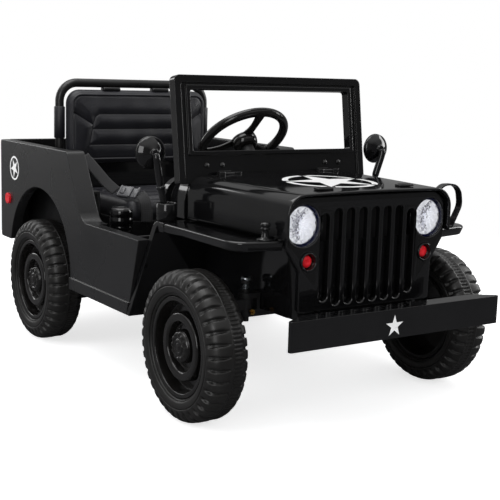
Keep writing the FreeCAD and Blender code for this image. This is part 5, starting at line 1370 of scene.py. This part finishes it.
corner = {
    "x": 339.0, "outMm": 174.0, "headZ": 249.2, "shaftMm": 3.7, "shaftLow": 214.0,
    # (height, radius) from the bolt's head, and along the nut, in mm
    "head": ((-3.6, 3.6), (-3.6, 9.0), (-2.4, 9.8), (1.6, 9.8), (3.6, 8.2), (5.0, 4.0), (5.0, 0.05)),
    "nutLine": ((0, 0.05), (0, 5.5), (5, 5.5), (5, 2.6), (9, 2.6), (9, 0.05)),
    "springMm": 5.6, "wireMm": 0.8, "springTurns": 8, "springLow": 216.0, "springHigh": 241.0,
    "nut": (355.0, 171.0, 190.0),
}


def makeSteeringCorners(look):
    # per side: a zinc bolt head and shaft over the kingpin, a coil spring as a helix, a six-sided brass nut
    for hand, side in hands:
        out = side * look["outMm"]
        axis = (look["x"], out, look["headZ"])
        head = turned(look["head"], (0, 0, 1), axis, 48)
        low, thick = look["shaftLow"] - look["headZ"], look["shaftMm"]
        shaft = turned([(low, thick), (-3, thick)], (0, 0, 1), axis, 24)
        mmPiece("kingpinBolt_" + hand, joinParts([head, shaft]), "knuckle_" + hand, "zinc_steel", zincSteel)
        t = np.linspace(0, 1, look["springTurns"] * 20)
        turn = t * look["springTurns"] * 2 * np.pi
        coil, height = look["springMm"], look["springHigh"] - look["springLow"]
        path = np.stack([look["x"] + coil * np.cos(turn), out + coil * np.sin(turn),
                         look["springLow"] + height * t], 1)
        spring = tubeAlong(path, look["wireMm"], 8)
        mmPiece("kingpinSpring_" + hand, spring, "knuckle_" + hand, "zinc_steel", zincSteel)
        x, y, z = look["nut"]
        nut = turned(look["nutLine"], (1, 0, 0), (x, side * y, z), 6)
        mmPiece("brassNut_" + hand, nut, "car", "zinc_steel", brassNut, smooth=False)


makeSteeringCorners(corner)

consoleLook = {
    "centre": (-87.0, -215.0),
    "profile": ((155.3, 0.05), (155.3, 20.5), (276, 20.5), (282, 24.0), (290, 24.8), (292, 23.6), (294, 24.8),
                (308, 24.8), (310, 23.6), (312, 24.8), (322, 24.6), (327, 22.8), (329.6, 18.5), (329.9, 10.0),
                (328.6, 8.5), (328.6, 0.05)),
}


def makeConsole(look):
    # the round console beside the seat, with two ring grooves and a dished top
    shape = turned(look["profile"], (0, 0, 1), (*look["centre"], 0), 64)
    piece = mmPiece("consoleRings", shape, "car", "dark_plastic", glossAbs)
    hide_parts("side_console")


makeConsole(consoleLook)

postLook = {
    "place": (444.0, -207.0, 338.0),
    "profile": ((0.1, 0.05), (0.1, 14.6), (1.6, 15.0), (2.8, 13.8), (3.4, 8.0), (5.5, 6.4), (14, 5.6),
                (17.5, 5.8), (18.5, 7.6), (20.5, 7.8), (21.5, 6.2), (23, 6.2), (24.5, 8.6), (27.5, 9.0),
                (29.8, 7.6), (30.8, 4.5), (31.0, 0.05)),
}


def makeFenderPost(look):
    # the small post on the right fender: a flanged foot, a waisted stem and a mushroom cap with a second ring
    shape = turned(look["profile"], (0, 0, 1), look["place"], 48)
    piece = mmPiece("fenderPost", shape, "car", "dark_plastic", glossAbs)
    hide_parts("fender_fitting")


makeFenderPost(postLook)
print("stage: hoop, belt, corners and console")
